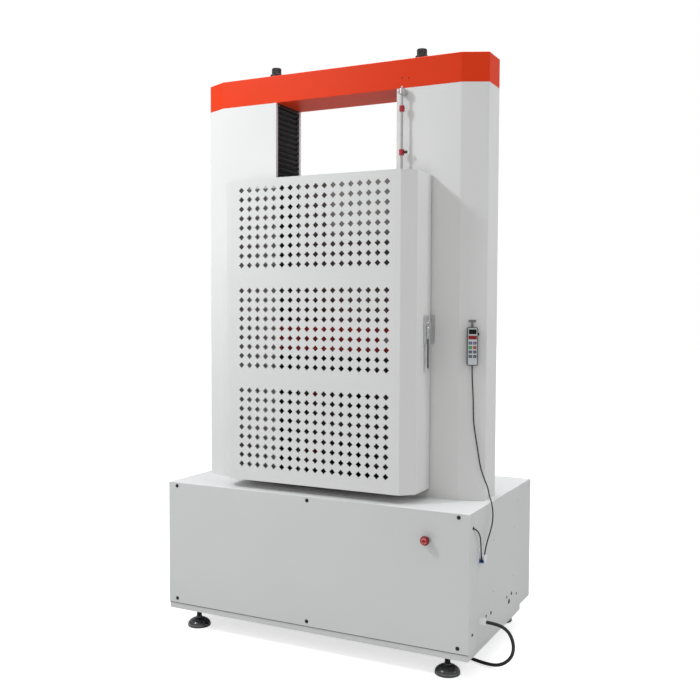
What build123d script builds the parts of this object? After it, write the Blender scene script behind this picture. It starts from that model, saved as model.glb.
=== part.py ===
from build123d import *
import os
from math import cos, hypot, radians, sin, tan

os.makedirs("parts", exist_ok=True)

# Fits between pieces, in millimetres like every size below
RUNNING_FIT = 0.05
SEAT_GAP = 0.3

# Cabinet, table and chassis
CABINET_WIDTH = 1470.0
CABINET_DEPTH = 870.0
TABLE_HEIGHT = 680.0
TABLE_THICKNESS = 50.0
GROUND_CLEARANCE = 89.0
PANEL_SHEET = 3.0
PLINTH_SHOWN = 28.0
PLINTH_SETBACK = 140.0
FRONT_RETURN = 104.0
RAIL_HEIGHT = 60.0
SIDE_RAIL = 60.0
END_RAIL = 100.0
POST_SIZE = 60.0
POST_INSET = 160.0
FOOT_INSET_X = 115.0
FOOT_INSET_Y = 75.0
FOOT_PAD_RADIUS = 53.0
FOOT_PAD_RIM = 12.0
FOOT_BELL_HEIGHT = 38.0
FOOT_FLANK_ANGLE = 58.0
FOOT_NECK_RADIUS = 14.0
FOOT_STEM_RADIUS = 12.0
FOOT_STEM_TOP = 150.0
VENT_WIDTH = 160.0
VENT_HEIGHT = 10.0
VENT_PITCH = 30.0
VENT_ROWS = 6
VENT_SPREAD = 600.0
VENT_DROP = 220.0

# Column covers, top beam and what stands between them
BEAM_WIDTH = 1402.0
BEAM_DEPTH = 230.0
BEAM_HEIGHT = 123.0
BEAM_CHAMFER_X = 106.0
BEAM_CHAMFER_Y = 48.0
BEAM_EDGE = 2.0
COLUMN_HEIGHT = 1751.0
COLUMN_SETBACK = 241.0
COLUMN_INNER = 302.0
COVER_SHEET = 3.0
COVER_LIP = 17.0
GUIDE_X = 370.0
GUIDE_RADIUS = 40.0
SPACER_RADIUS = 29.0
SPACER_HEIGHT = 35.0
CAP_HEAD_RADIUS = 22.5
CAP_HEAD_HEIGHT = 30.0
CAP_SOCKET = 22.0
CAP_SOCKET_DEPTH = 15.0
CAP_SHANK_RADIUS = 15.0
CAP_GRIP = 60.0

# Ball screws and belt drive
SCREW_X = 530.0
SCREW_RADIUS = 31.5
JOURNAL_RADIUS = 25.0
JOURNAL_CLEAR = 10.0
BEARING_RADIUS = 55.0
UPPER_BEARING_HEIGHT = 40.0
PULLEY_RADIUS = 80.0
PULLEY_FLANGE = 6.0
PULLEY_FLANGE_THICKNESS = 4.0
BELT_WIDTH = 40.0
BELT_THICKNESS = 5.0
PULLEY_DROP = 85.0
MOTOR_PULLEY_RADIUS = 40.0
MOTOR_BACK = 220.0
MOTOR_SHAFT_RADIUS = 14.0
MOTOR_SIZE = 150.0
MOTOR_LENGTH = 250.0
MOTOR_FLANGE = 190.0
MOTOR_FLANGE_THICKNESS = 14.0
BRACKET_PLATE = 12.0
BRACKET_WIDTH = 220.0
BRACKET_REACH = 100.0
BRACKET_FOOT = 70.0
BRACKET_DROP = 105.0
DRIVE_UNIT_CLEARANCE = 47.0
DRIVE_UNIT_HEIGHT = 250.0
DRIVE_UNIT_DEPTH = 110.0
DRIVE_UNIT_DROP = 280.0
FIN_COUNT = 7
FIN_THICKNESS = 4.0
FIN_DEPTH = 30.0

# Moving crosshead and load string
CROSSHEAD_RISE = 614.0
CROSSHEAD_HEIGHT = 126.0
CROSSHEAD_LENGTH = 1220.0
CROSSHEAD_DEPTH = 176.0
CROSSHEAD_EDGE = 8.0
BUSH_RADIUS = 52.0
NUT_RADIUS = 47.5
NUT_FLANGE_RADIUS = 66.0
NUT_FLANGE_HEIGHT = 18.0
STUD_BORE_RADIUS = 22.0
CELL_RADIUS = 100.0
CELL_RIM_HEIGHT = 62.0
CELL_WAIST_RADIUS = 72.0
CELL_WAIST_HEIGHT = 8.0
CELL_HUB_RADIUS = 46.0
CELL_HEIGHT = 80.0
ADAPTER_FLANGE_RADIUS = 52.0
ADAPTER_FLANGE_HEIGHT = 14.0
ADAPTER_NECK_RADIUS = 32.0
POST_FLANGE_RADIUS = 82.0
POST_FLANGE_HEIGHT = 22.0
POST_NECK_RADIUS = 45.0

# Wedge grips, mirrored about the middle of the specimen gap
GRIP_GAP = 130.0
GRIP_MIDDLE_RISE = 280.0
GRIP_WIDTH = 160.0
GRIP_HEIGHT = 150.0
GRIP_DEPTH = 100.0
GRIP_SHOULDER = 22.0
GRIP_EDGE = 4.0
WEDGE_ANGLE = 12.0
POCKET_MOUTH = 64.0
POCKET_DEPTH = 116.0
JAW_OPENING = 10.0
JAW_LENGTH = 90.0
JAW_INSET = 2.0
JAW_DEPTH = 70.0
LEVER_X = -56.0
LEVER_RISE = 128.0
LEVER_BOSS_RADIUS = 15.0
LEVER_BOSS_LENGTH = 14.0
LEVER_ARM = 96.0
LEVER_ANGLE = 45.0
LEVER_ARM_WIDTH = 12.0
LEVER_ARM_THICKNESS = 8.0
LEVER_KNOB_RADIUS = 14.0

# Bellows in the columns' inner slots
BELLOWS_DEPTH = 20.0
BELLOWS_OVERLAP = 6.0
BELLOWS_SKIN = 3.0
BELLOWS_PITCH = 24.5

# Limit rod beside the right column
ROD_X = 340.0
ROD_STANDOFF = 30.0
ROD_RADIUS = 5.0
ROD_TOP_RISE = 1752.0
ROD_BOTTOM_RISE = 50.0
ROD_BRACKET_WIDTH = 26.0
ROD_BRACKET_HEIGHT = 22.0
ROD_BRACKET_NOSE = 13.0
ROD_BRACKET_INSET = 22.0
COLLAR_RADIUS = 11.0
COLLAR_HEIGHT = 25.0
TOP_COLLAR_RISE = 1658.0
UPPER_COLLAR_RISE = 1474.0
LOWER_COLLAR_RISE = 235.0
THUMB_RADIUS = 6.5
THUMB_ROOT = 8.0
THUMB_LENGTH = 17.0
ARM_HEIGHT = 24.0
ARM_THICKNESS = 10.0
ARM_EYE_RADIUS = 16.0
ARM_HOLE_RADIUS = 9.0
ARM_ROOT = 36.0
ARM_ROOT_X = 270.0

# Guard door, its hinges and its handle
DOOR_HALF_WIDTH = 468.0
DOOR_SETBACK = 33.0
DOOR_GAP = 5.0
DOOR_RISE = 40.0
DOOR_HEIGHT = 1336.0
DOOR_CHAMFER = 52.0
DOOR_MARGIN = 20.0
DOOR_SHEET = 2.5
DOOR_LIP = 22.0
DOOR_RETURN = 150.0
HOLE_SIDE = 19.5
HOLE_PITCH_X = 41.7
HOLE_PITCH_Z = 41.3
HOLE_COLUMNS = 18
HOLE_ROWS = 9
HOLE_GROUPS = 3
HOLE_GROUP_PITCH = 443.0
HOLE_TOP_MARGIN = 47.5
HINGE_RADIUS = 7.0
HINGE_PIN_RADIUS = 4.0
HINGE_LENGTH = 90.0
HINGE_LEAF = 30.0
HINGE_LEAF_THICKNESS = 3.0
HINGE_OUTBOARD = 9.0
HINGE_COUNT = 3
HINGE_PITCH = 520.0
LATCH_RISE = 722.0
LATCH_HEIGHT = 124.0
LATCH_WIDTH = 34.0
LATCH_THICKNESS = 12.0
LATCH_BACK = 44.0
LATCH_CORNER = 8.0
LATCH_PIVOT_DROP = 36.0
LEVER_PIN_RADIUS = 5.0
HANDLE_LENGTH = 200.0
HANDLE_ROOT_WIDTH = 24.0
HANDLE_TIP_WIDTH = 15.0
HANDLE_THICKNESS = 11.0
KEEPER_WIDTH = 15.0
KEEPER_THICKNESS = 4.5
KEEPER_OFFSET = 4.0

# Rear guard
REAR_GUARD_SHEET = 2.5
REAR_GUARD_LIP = 22.0
REAR_GUARD_RISE = 50.0

# Emergency stop on the front panel
ESTOP_INSET = 180.0
ESTOP_DROP = 118.0
ESTOP_COLLAR_RADIUS = 17.0
ESTOP_COLLAR_HEIGHT = 8.0
ESTOP_STEM_RADIUS = 8.0
ESTOP_STEM_SHOWN = 10.0
ESTOP_HEAD_RADIUS = 20.0
ESTOP_HEAD_HEIGHT = 18.0
ESTOP_HEAD_RIM = 7.0
ESTOP_HEAD_EDGE = 2.0
ESTOP_BARREL = 30.0

# Handset on the right column's chamfer
HANDSET_ALONG = 55.0
HANDSET_RISE = 653.0
HANDSET_WIDTH = 46.0
HANDSET_HEIGHT = 161.0
HANDSET_THICKNESS = 20.0
HANDSET_CORNER = 8.0
HANDSET_FACE_INSET = 4.0
HANDSET_FACE_THICKNESS = 2.0
SCREEN_WIDTH = 32.0
SCREEN_HEIGHT = 20.0
SCREEN_DROP = 19.0
WINDOW_WIDTH = 35.0
WINDOW_HEIGHT = 16.0
WINDOW_DROP = 43.0
KEY_WIDTH = 14.0
KEY_HEIGHT = 12.0
KEY_TRAVEL = 0.8
KEY_PITCH_X = 18.5
KEY_PITCH_Z = 18.6
KEY_ROWS = 4
KEY_BLOCK_DROP = 94.0
JOG_RADIUS = 6.0
JOG_LENGTH = 5.0
JOG_DROP = 29.0
HOOK_THICKNESS = 4.0
HOOK_STEM = 9.0
HOOK_ARM = 31.0
HOOK_ARM_HEIGHT = 9.0
HOOK_ABOVE = 30.0
HOOK_BEHIND = 60.0

# Mains gland, cords and cable clip on the right side
GLAND_SETBACK = 138.0
GLAND_RISE = 215.0
GLAND_FLANGE_RADIUS = 17.0
GLAND_FLANGE = 6.0
GLAND_NOSE_RADIUS = 10.0
GLAND_LENGTH = 28.0
MAINS_RADIUS = 7.0
COIL_RADIUS = 84.0
COIL_LAYERS = 2
COIL_CENTRE_X = 430.0
COIL_CENTRE_Y = 160.0
PLUG_RADIUS = 20.0
PLUG_LENGTH = 58.0
PLUG_PIN_RADIUS = 2.4
PLUG_PIN_LENGTH = 19.0
PLUG_PIN_PITCH = 19.0
PLUG_WAIST_RADIUS = 10.0
PLUG_WAIST = 24.0
CORD_RADIUS = 2.75
CORD_HOLE_RADIUS = 8.5
CORD_HOLE_SETBACK = 45.0
CORD_HOLE_DROP = 61.6
CLIP_SETBACK = 131.0
CLIP_DROP = 201.0
CLIP_PLATE = 3.0
CLIP_WIDTH = 58.0
CLIP_HEIGHT = 60.0
CLIP_REACH = 24.0
CLIP_PEG_RADIUS = 10.5
CLIP_FLANGE_RADIUS = 17.0

# Small sockets in the right panel: setback from the front, drop below the table, radius
SIDE_SOCKETS = [(507, 470, 4.5), (541, 499, 10.0), (578, 473, 6.5), (654, 494, 4.5), (218, 468, 4.5), (282, 473, 6.5)]

# Places worked out from those sizes; the origin is on the floor under the middle of the whole machine
ESTOP_REACH = ESTOP_COLLAR_HEIGHT + ESTOP_STEM_SHOWN + ESTOP_HEAD_HEIGHT
FRONT = -(CABINET_DEPTH - ESTOP_REACH) / 2
REAR = FRONT + CABINET_DEPTH
CABINET_Y = (FRONT + REAR) / 2
SIDE = CABINET_WIDTH / 2
FRAME_WIDTH = CABINET_WIDTH - 2 * PANEL_SHEET
FRAME_DEPTH = CABINET_DEPTH - 2 * PANEL_SHEET
FRAME_TOP = TABLE_HEIGHT - TABLE_THICKNESS
PANEL_BOTTOM = GROUND_CLEARANCE + PLINTH_SHOWN
PANEL_HEIGHT = TABLE_HEIGHT - PANEL_BOTTOM
COLUMN_FRONT = FRONT + COLUMN_SETBACK
COLUMN_REAR = COLUMN_FRONT + BEAM_DEPTH
LOAD_Y = (COLUMN_FRONT + COLUMN_REAR) / 2
BEAM_UNDERSIDE = TABLE_HEIGHT + COLUMN_HEIGHT
BEAM_TOP = BEAM_UNDERSIDE + BEAM_HEIGHT
HEAD_SEAT = BEAM_TOP + SPACER_HEIGHT
CROSSHEAD_BOTTOM = TABLE_HEIGHT + CROSSHEAD_RISE
CROSSHEAD_TOP = CROSSHEAD_BOTTOM + CROSSHEAD_HEIGHT
CELL_BOTTOM = CROSSHEAD_BOTTOM - CELL_HEIGHT
GRIP_MIDDLE = TABLE_HEIGHT + GRIP_MIDDLE_RISE
MOUTH = GRIP_MIDDLE + GRIP_GAP / 2
GRIP_TOP = MOUTH + GRIP_HEIGHT
PULLEY_BOTTOM = FRAME_TOP - PULLEY_DROP
PULLEY_HEIGHT = BELT_WIDTH + 2 * PULLEY_FLANGE_THICKNESS
MOTOR_Y = LOAD_Y + MOTOR_BACK
BRACKET_BOTTOM = FRAME_TOP - BRACKET_DROP
ROD_Y = COLUMN_FRONT - ROD_STANDOFF
ROD_TOP = TABLE_HEIGHT + ROD_TOP_RISE
ROD_BOTTOM = TABLE_HEIGHT + ROD_BOTTOM_RISE
DOOR_FRONT = FRONT + DOOR_SETBACK
DOOR_REAR = COLUMN_FRONT - DOOR_GAP
DOOR_BOTTOM = TABLE_HEIGHT + DOOR_RISE
DOOR_TOP = DOOR_BOTTOM + DOOR_HEIGHT
DOOR_FLAT = DOOR_HALF_WIDTH - DOOR_CHAMFER
HINGE_X = -DOOR_HALF_WIDTH - HINGE_OUTBOARD
HINGE_Y = COLUMN_FRONT - HINGE_LEAF_THICKNESS - HINGE_RADIUS
HINGE_MIDDLE = DOOR_BOTTOM + DOOR_HEIGHT / 2
LATCH_MIDDLE = TABLE_HEIGHT + LATCH_RISE
LATCH_Y = DOOR_REAR - LATCH_BACK - LATCH_WIDTH / 2
LATCH_PIVOT_X = DOOR_HALF_WIDTH + LATCH_THICKNESS + HANDLE_THICKNESS / 2 + SEAT_GAP
LATCH_PIVOT_Z = LATCH_MIDDLE + LATCH_HEIGHT / 2 - LATCH_PIVOT_DROP
ESTOP_X = SIDE - ESTOP_INSET
ESTOP_Z = TABLE_HEIGHT - ESTOP_DROP
CHAMFER_LENGTH = hypot(BEAM_CHAMFER_X, BEAM_CHAMFER_Y)
CHAMFER_START = BEAM_WIDTH / 2 - BEAM_CHAMFER_X
GLAND_Y = FRONT + GLAND_SETBACK
CLIP_Y = FRONT + CLIP_SETBACK
CLIP_Z = TABLE_HEIGHT - CLIP_DROP


def axial_plane(x, y):
    """Upright sketch plane through a vertical axis: local x is the radius, local y is the height."""
    return Plane(origin=(x, y, 0), x_dir=(1, 0, 0), z_dir=(0, -1, 0))


def on_chamfer(along, stand_off):
    """Plan position on the right column's chamfer: distance along it and out from it."""
    along_x, along_y = BEAM_CHAMFER_X / CHAMFER_LENGTH, BEAM_CHAMFER_Y / CHAMFER_LENGTH
    x = CHAMFER_START + along * along_x + stand_off * along_y
    y = COLUMN_FRONT + along * along_y - stand_off * along_x
    return x, y


def handset_plane(stand_off):
    """Sketch plane parallel to the chamfer, centred on the handset, with local y upwards."""
    x, y = on_chamfer(HANDSET_ALONG, stand_off)
    return Plane(
        origin=(x, y, TABLE_HEIGHT + HANDSET_RISE),
        x_dir=(BEAM_CHAMFER_X, BEAM_CHAMFER_Y, 0),
        z_dir=(BEAM_CHAMFER_Y, -BEAM_CHAMFER_X, 0),
    )


def cord_radii(points):
    """Arc radius at each inner point of a cord's route: as large as its two runs allow."""
    route = [Vector(*point) for point in points]
    radii = []
    for before, corner, after in zip(route, route[1:], route[2:]):
        turn = (corner - before).get_angle(after - corner)
        shorter = min((corner - before).length, (after - corner).length)
        radii.append(0.45 * shorter / tan(radians(turn / 2)))
    return radii


# Welded chassis: bottom ring, cut shallower at the rear, and four corner posts, with holes for the feet's stems
with BuildPart() as chassis:
    with BuildSketch(Plane((0, CABINET_Y, GROUND_CLEARANCE))):
        Rectangle(FRAME_WIDTH, FRAME_DEPTH)
        Rectangle(FRAME_WIDTH - 2 * SIDE_RAIL, FRAME_DEPTH - 2 * END_RAIL, mode=Mode.SUBTRACT)
    extrude(amount=RAIL_HEIGHT)
    with BuildSketch(Plane((0, CABINET_Y, GROUND_CLEARANCE + RAIL_HEIGHT))):
        with GridLocations(FRAME_WIDTH - POST_SIZE, FRAME_DEPTH - POST_SIZE - 2 * POST_INSET, 2, 2):
            Rectangle(POST_SIZE, POST_SIZE)
    extrude(amount=FRAME_TOP - GROUND_CLEARANCE - RAIL_HEIGHT)
    with BuildSketch(Plane((0, CABINET_Y + FRAME_DEPTH / 2, GROUND_CLEARANCE))):
        Rectangle(FRAME_WIDTH, PLINTH_SETBACK, align=(Align.CENTER, Align.MAX))
    extrude(amount=PLINTH_SHOWN, mode=Mode.SUBTRACT)
    with Locations((0, CABINET_Y, GROUND_CLEARANCE + RAIL_HEIGHT)):
        with GridLocations(CABINET_WIDTH - 2 * FOOT_INSET_X, CABINET_DEPTH - 2 * FOOT_INSET_Y, 2, 2):
            Hole(FOOT_STEM_RADIUS + RUNNING_FIT)

# Levelling feet: bell-shaped pad and threaded stem
with BuildPart() as foot:
    with BuildSketch(Plane.XZ):
        with BuildLine():
            rim = Polyline((0, 0), (FOOT_PAD_RADIUS, 0), (FOOT_PAD_RADIUS, FOOT_PAD_RIM))
            flank = (-cos(radians(FOOT_FLANK_ANGLE)), sin(radians(FOOT_FLANK_ANGLE)))
            TangentArc(rim @ 1, (FOOT_NECK_RADIUS, FOOT_BELL_HEIGHT), tangent=flank)
            Polyline(
                (FOOT_NECK_RADIUS, FOOT_BELL_HEIGHT),
                (FOOT_STEM_RADIUS, FOOT_BELL_HEIGHT),
                (FOOT_STEM_RADIUS, FOOT_STEM_TOP),
                (0, FOOT_STEM_TOP),
                (0, 0),
            )
        make_face()
    revolve(axis=Axis.Z)

with BuildPart() as levelling_feet:
    with Locations((0, CABINET_Y, 0)):
        with GridLocations(CABINET_WIDTH - 2 * FOOT_INSET_X, CABINET_DEPTH - 2 * FOOT_INSET_Y, 2, 2):
            add(foot.part)

# Table plate, bored for the lower screw bearings
with BuildPart() as base_table:
    with BuildSketch(Plane((0, CABINET_Y, FRAME_TOP))):
        Rectangle(FRAME_WIDTH, FRAME_DEPTH)
    extrude(amount=TABLE_THICKNESS)
    with Locations((-SCREW_X, LOAD_Y, TABLE_HEIGHT), (SCREW_X, LOAD_Y, TABLE_HEIGHT)):
        Hole(BEARING_RADIUS)

# Front panel: one sheet folded round both front corners
with BuildPart() as front_panel:
    with BuildSketch(Plane((0, FRONT, PANEL_BOTTOM))):
        Rectangle(CABINET_WIDTH, FRONT_RETURN, align=(Align.CENTER, Align.MIN))
        with Locations((0, PANEL_SHEET)):
            Rectangle(FRAME_WIDTH, FRONT_RETURN, align=(Align.CENTER, Align.MIN), mode=Mode.SUBTRACT)
    extrude(amount=PANEL_HEIGHT)
    with Locations(Plane(origin=(ESTOP_X, FRONT, ESTOP_Z), z_dir=(0, -1, 0))):
        Hole(ESTOP_STEM_RADIUS + RUNNING_FIT, depth=2 * PANEL_SHEET)
    with Locations(Plane(origin=(SIDE, FRONT + CORD_HOLE_SETBACK, TABLE_HEIGHT - CORD_HOLE_DROP), z_dir=(1, 0, 0))):
        Hole(CORD_HOLE_RADIUS, depth=2 * PANEL_SHEET)

# Side panels behind the front panel's returns
SIDE_PANEL_LENGTH = CABINET_DEPTH - FRONT_RETURN - PANEL_SHEET - 2 * SEAT_GAP
SIDE_PANEL_Y = FRONT + FRONT_RETURN + SEAT_GAP + SIDE_PANEL_LENGTH / 2
with BuildPart() as side_sheet:
    with BuildSketch(Plane((SIDE - PANEL_SHEET / 2, SIDE_PANEL_Y, PANEL_BOTTOM))):
        Rectangle(PANEL_SHEET, SIDE_PANEL_LENGTH)
    extrude(amount=PANEL_HEIGHT)

with BuildPart() as right_panel:
    add(side_sheet.part)
    with Locations(Plane(origin=(SIDE, GLAND_Y, GLAND_RISE), z_dir=(1, 0, 0))):
        Hole(GLAND_NOSE_RADIUS)
    for setback, drop, radius in SIDE_SOCKETS:
        with Locations(Plane(origin=(SIDE, FRONT + setback, TABLE_HEIGHT - drop), z_dir=(1, 0, 0))):
            Hole(radius)

with BuildPart() as left_panel:
    mirror(side_sheet.part, about=Plane.YZ)

# Rear panel with two blocks of ventilation slots
with BuildPart() as rear_panel:
    with BuildSketch(Plane(origin=(0, REAR, PANEL_BOTTOM), x_dir=(-1, 0, 0), z_dir=(0, 1, 0))):
        Rectangle(CABINET_WIDTH, PANEL_HEIGHT, align=(Align.CENTER, Align.MIN))
        with Locations((0, PANEL_HEIGHT - VENT_DROP)):
            with GridLocations(VENT_SPREAD, VENT_PITCH, 2, VENT_ROWS):
                Rectangle(VENT_WIDTH, VENT_HEIGHT, mode=Mode.SUBTRACT)
    extrude(amount=-PANEL_SHEET)

# Column covers: chamfered sheet with an open slot towards the test space
SLOT_WIDTH = BEAM_DEPTH - 2 * COVER_LIP
with BuildPart() as right_column_cover:
    with BuildSketch(Plane.XY.offset(TABLE_HEIGHT)):
        with BuildLine():
            Polyline(
                (COLUMN_INNER, COLUMN_FRONT),
                (CHAMFER_START, COLUMN_FRONT),
                (BEAM_WIDTH / 2, COLUMN_FRONT + BEAM_CHAMFER_Y),
                (BEAM_WIDTH / 2, COLUMN_REAR - BEAM_CHAMFER_Y),
                (CHAMFER_START, COLUMN_REAR),
                (COLUMN_INNER, COLUMN_REAR),
                close=True,
            )
        make_face()
        offset(amount=-COVER_SHEET, kind=Kind.INTERSECTION, mode=Mode.SUBTRACT)
        with Locations((COLUMN_INNER, LOAD_Y)):
            Rectangle(3 * COVER_SHEET, SLOT_WIDTH, mode=Mode.SUBTRACT)
    extrude(amount=COLUMN_HEIGHT)

with BuildPart() as left_column_cover:
    mirror(right_column_cover.part, about=Plane.YZ)

# Guide columns, tapped at the top for the clamping screws
with BuildPart() as guide_columns:
    with BuildSketch(Plane((0, LOAD_Y, TABLE_HEIGHT))):
        with Locations((-GUIDE_X, 0), (GUIDE_X, 0)):
            Circle(GUIDE_RADIUS)
    extrude(amount=COLUMN_HEIGHT)
    with Locations((-GUIDE_X, LOAD_Y, BEAM_UNDERSIDE), (GUIDE_X, LOAD_Y, BEAM_UNDERSIDE)):
        Hole(CAP_SHANK_RADIUS, depth=CAP_GRIP)

# Top beam: chamfered ends, through holes for the clamping screws and blind seats for the upper screw bearings
with BuildPart() as top_beam:
    with BuildSketch(Plane.XY.offset(BEAM_UNDERSIDE)):
        with BuildLine():
            half_plan = Polyline(
                (0, COLUMN_FRONT),
                (CHAMFER_START, COLUMN_FRONT),
                (BEAM_WIDTH / 2, COLUMN_FRONT + BEAM_CHAMFER_Y),
                (BEAM_WIDTH / 2, COLUMN_REAR - BEAM_CHAMFER_Y),
                (CHAMFER_START, COLUMN_REAR),
                (0, COLUMN_REAR),
            )
            mirror(half_plan, about=Plane.YZ)
        make_face()
    extrude(amount=BEAM_HEIGHT)
    chamfer(top_beam.faces().sort_by(Axis.Z)[-1].edges(), BEAM_EDGE)
    with Locations((-GUIDE_X, LOAD_Y, BEAM_TOP), (GUIDE_X, LOAD_Y, BEAM_TOP)):
        Hole(CAP_SHANK_RADIUS)
    with BuildSketch(Plane((0, LOAD_Y, BEAM_UNDERSIDE))):
        with Locations((-SCREW_X, 0), (SCREW_X, 0)):
            Circle(BEARING_RADIUS)
    extrude(amount=UPPER_BEARING_HEIGHT, mode=Mode.SUBTRACT)

# Clamping screws on their spacers
with BuildPart() as column_screws:
    for x in (-GUIDE_X, GUIDE_X):
        with BuildSketch(Plane((x, LOAD_Y, BEAM_TOP))):
            Circle(SPACER_RADIUS)
        extrude(amount=SPACER_HEIGHT)
        with BuildSketch(Plane((x, LOAD_Y, BEAM_UNDERSIDE - CAP_GRIP))):
            Circle(CAP_SHANK_RADIUS)
        extrude(amount=CAP_GRIP + HEAD_SEAT - BEAM_UNDERSIDE)
        with BuildSketch(Plane((x, LOAD_Y, HEAD_SEAT))):
            Circle(CAP_HEAD_RADIUS)
        extrude(amount=CAP_HEAD_HEIGHT)
        with BuildSketch(Plane((x, LOAD_Y, HEAD_SEAT + CAP_HEAD_HEIGHT))):
            RegularPolygon(CAP_SOCKET / 2, 6, major_radius=False)
        extrude(amount=-CAP_SOCKET_DEPTH, mode=Mode.SUBTRACT)

# Ball screws, each with its belt pulley at the lower end
PULLEY_TOP = PULLEY_BOTTOM + PULLEY_HEIGHT
with BuildPart() as right_screw:
    with BuildSketch(axial_plane(SCREW_X, LOAD_Y)):
        with BuildLine():
            Polyline(
                (0, PULLEY_BOTTOM),
                (PULLEY_RADIUS + PULLEY_FLANGE, PULLEY_BOTTOM),
                (PULLEY_RADIUS + PULLEY_FLANGE, PULLEY_BOTTOM + PULLEY_FLANGE_THICKNESS),
                (PULLEY_RADIUS, PULLEY_BOTTOM + PULLEY_FLANGE_THICKNESS),
                (PULLEY_RADIUS, PULLEY_TOP - PULLEY_FLANGE_THICKNESS),
                (PULLEY_RADIUS + PULLEY_FLANGE, PULLEY_TOP - PULLEY_FLANGE_THICKNESS),
                (PULLEY_RADIUS + PULLEY_FLANGE, PULLEY_TOP),
                (JOURNAL_RADIUS, PULLEY_TOP),
                (JOURNAL_RADIUS, TABLE_HEIGHT + JOURNAL_CLEAR),
                (SCREW_RADIUS, TABLE_HEIGHT + JOURNAL_CLEAR),
                (SCREW_RADIUS, BEAM_UNDERSIDE - JOURNAL_CLEAR),
                (JOURNAL_RADIUS, BEAM_UNDERSIDE - JOURNAL_CLEAR),
                (JOURNAL_RADIUS, BEAM_UNDERSIDE + UPPER_BEARING_HEIGHT - SEAT_GAP),
                (0, BEAM_UNDERSIDE + UPPER_BEARING_HEIGHT - SEAT_GAP),
                close=True,
            )
        make_face()
    revolve(axis=Axis((SCREW_X, LOAD_Y, 0), (0, 0, 1)))

with BuildPart() as left_screw:
    mirror(right_screw.part, about=Plane.YZ)

with BuildPart() as screw_bearings:
    for base, height in ((FRAME_TOP, TABLE_THICKNESS), (BEAM_UNDERSIDE, UPPER_BEARING_HEIGHT)):
        with BuildSketch(Plane((0, LOAD_Y, base))):
            with Locations((-SCREW_X, 0), (SCREW_X, 0)):
                Circle(BEARING_RADIUS)
                Circle(JOURNAL_RADIUS + RUNNING_FIT, mode=Mode.SUBTRACT)
        extrude(amount=height)

# Motor bracket under the table, servo motor, its pulley and the belt round all three pulleys
BRACKET_WALL_Y = MOTOR_Y + BRACKET_REACH
with BuildPart() as motor_bracket:
    with BuildSketch(Plane.YZ):
        with BuildLine():
            Polyline(
                (MOTOR_Y - BRACKET_REACH, BRACKET_BOTTOM),
                (BRACKET_WALL_Y, BRACKET_BOTTOM),
                (BRACKET_WALL_Y, FRAME_TOP - BRACKET_PLATE),
                (BRACKET_WALL_Y + BRACKET_FOOT, FRAME_TOP - BRACKET_PLATE),
                (BRACKET_WALL_Y + BRACKET_FOOT, FRAME_TOP),
                (BRACKET_WALL_Y - BRACKET_PLATE, FRAME_TOP),
                (BRACKET_WALL_Y - BRACKET_PLATE, BRACKET_BOTTOM + BRACKET_PLATE),
                (MOTOR_Y - BRACKET_REACH, BRACKET_BOTTOM + BRACKET_PLATE),
                close=True,
            )
        make_face()
    extrude(amount=BRACKET_WIDTH / 2, both=True)
    with Locations((0, MOTOR_Y, BRACKET_BOTTOM + BRACKET_PLATE)):
        Hole(2 * MOTOR_SHAFT_RADIUS, depth=2 * BRACKET_PLATE)

with BuildPart() as servo_motor:
    add(motor_bracket.part)
    with BuildSketch(Plane((0, MOTOR_Y, BRACKET_BOTTOM))):
        RectangleRounded(MOTOR_FLANGE, MOTOR_FLANGE, MOTOR_FLANGE_THICKNESS)
    extrude(amount=-MOTOR_FLANGE_THICKNESS)
    with BuildSketch(Plane((0, MOTOR_Y, BRACKET_BOTTOM - MOTOR_FLANGE_THICKNESS))):
        RectangleRounded(MOTOR_SIZE, MOTOR_SIZE, MOTOR_FLANGE_THICKNESS)
    extrude(amount=-MOTOR_LENGTH)

with BuildPart() as motor_pulley:
    with BuildSketch(axial_plane(0, MOTOR_Y)):
        with BuildLine():
            Polyline(
                (0, BRACKET_BOTTOM + SEAT_GAP),
                (MOTOR_SHAFT_RADIUS, BRACKET_BOTTOM + SEAT_GAP),
                (MOTOR_SHAFT_RADIUS, PULLEY_BOTTOM),
                (MOTOR_PULLEY_RADIUS + PULLEY_FLANGE, PULLEY_BOTTOM),
                (MOTOR_PULLEY_RADIUS + PULLEY_FLANGE, PULLEY_BOTTOM + PULLEY_FLANGE_THICKNESS),
                (MOTOR_PULLEY_RADIUS, PULLEY_BOTTOM + PULLEY_FLANGE_THICKNESS),
                (MOTOR_PULLEY_RADIUS, PULLEY_TOP - PULLEY_FLANGE_THICKNESS),
                (MOTOR_PULLEY_RADIUS + PULLEY_FLANGE, PULLEY_TOP - PULLEY_FLANGE_THICKNESS),
                (MOTOR_PULLEY_RADIUS + PULLEY_FLANGE, PULLEY_TOP),
                (0, PULLEY_TOP),
                close=True,
            )
        make_face()
    revolve(axis=Axis((0, MOTOR_Y, 0), (0, 0, 1)))

with BuildPart() as drive_belt:
    for inside, how in ((BELT_THICKNESS, Mode.ADD), (SEAT_GAP, Mode.SUBTRACT)):
        with BuildSketch(Plane.XY.offset(PULLEY_BOTTOM + PULLEY_FLANGE_THICKNESS + SEAT_GAP)) as loop:
            with BuildSketch(mode=Mode.PRIVATE) as rounds:
                with Locations((-SCREW_X, LOAD_Y), (SCREW_X, LOAD_Y)):
                    Circle(PULLEY_RADIUS + inside)
                with Locations((0, MOTOR_Y)):
                    Circle(MOTOR_PULLEY_RADIUS + inside)
            make_hull(rounds.sketch.edges())
        extrude(amount=BELT_WIDTH - 2 * SEAT_GAP, mode=how)

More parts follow.
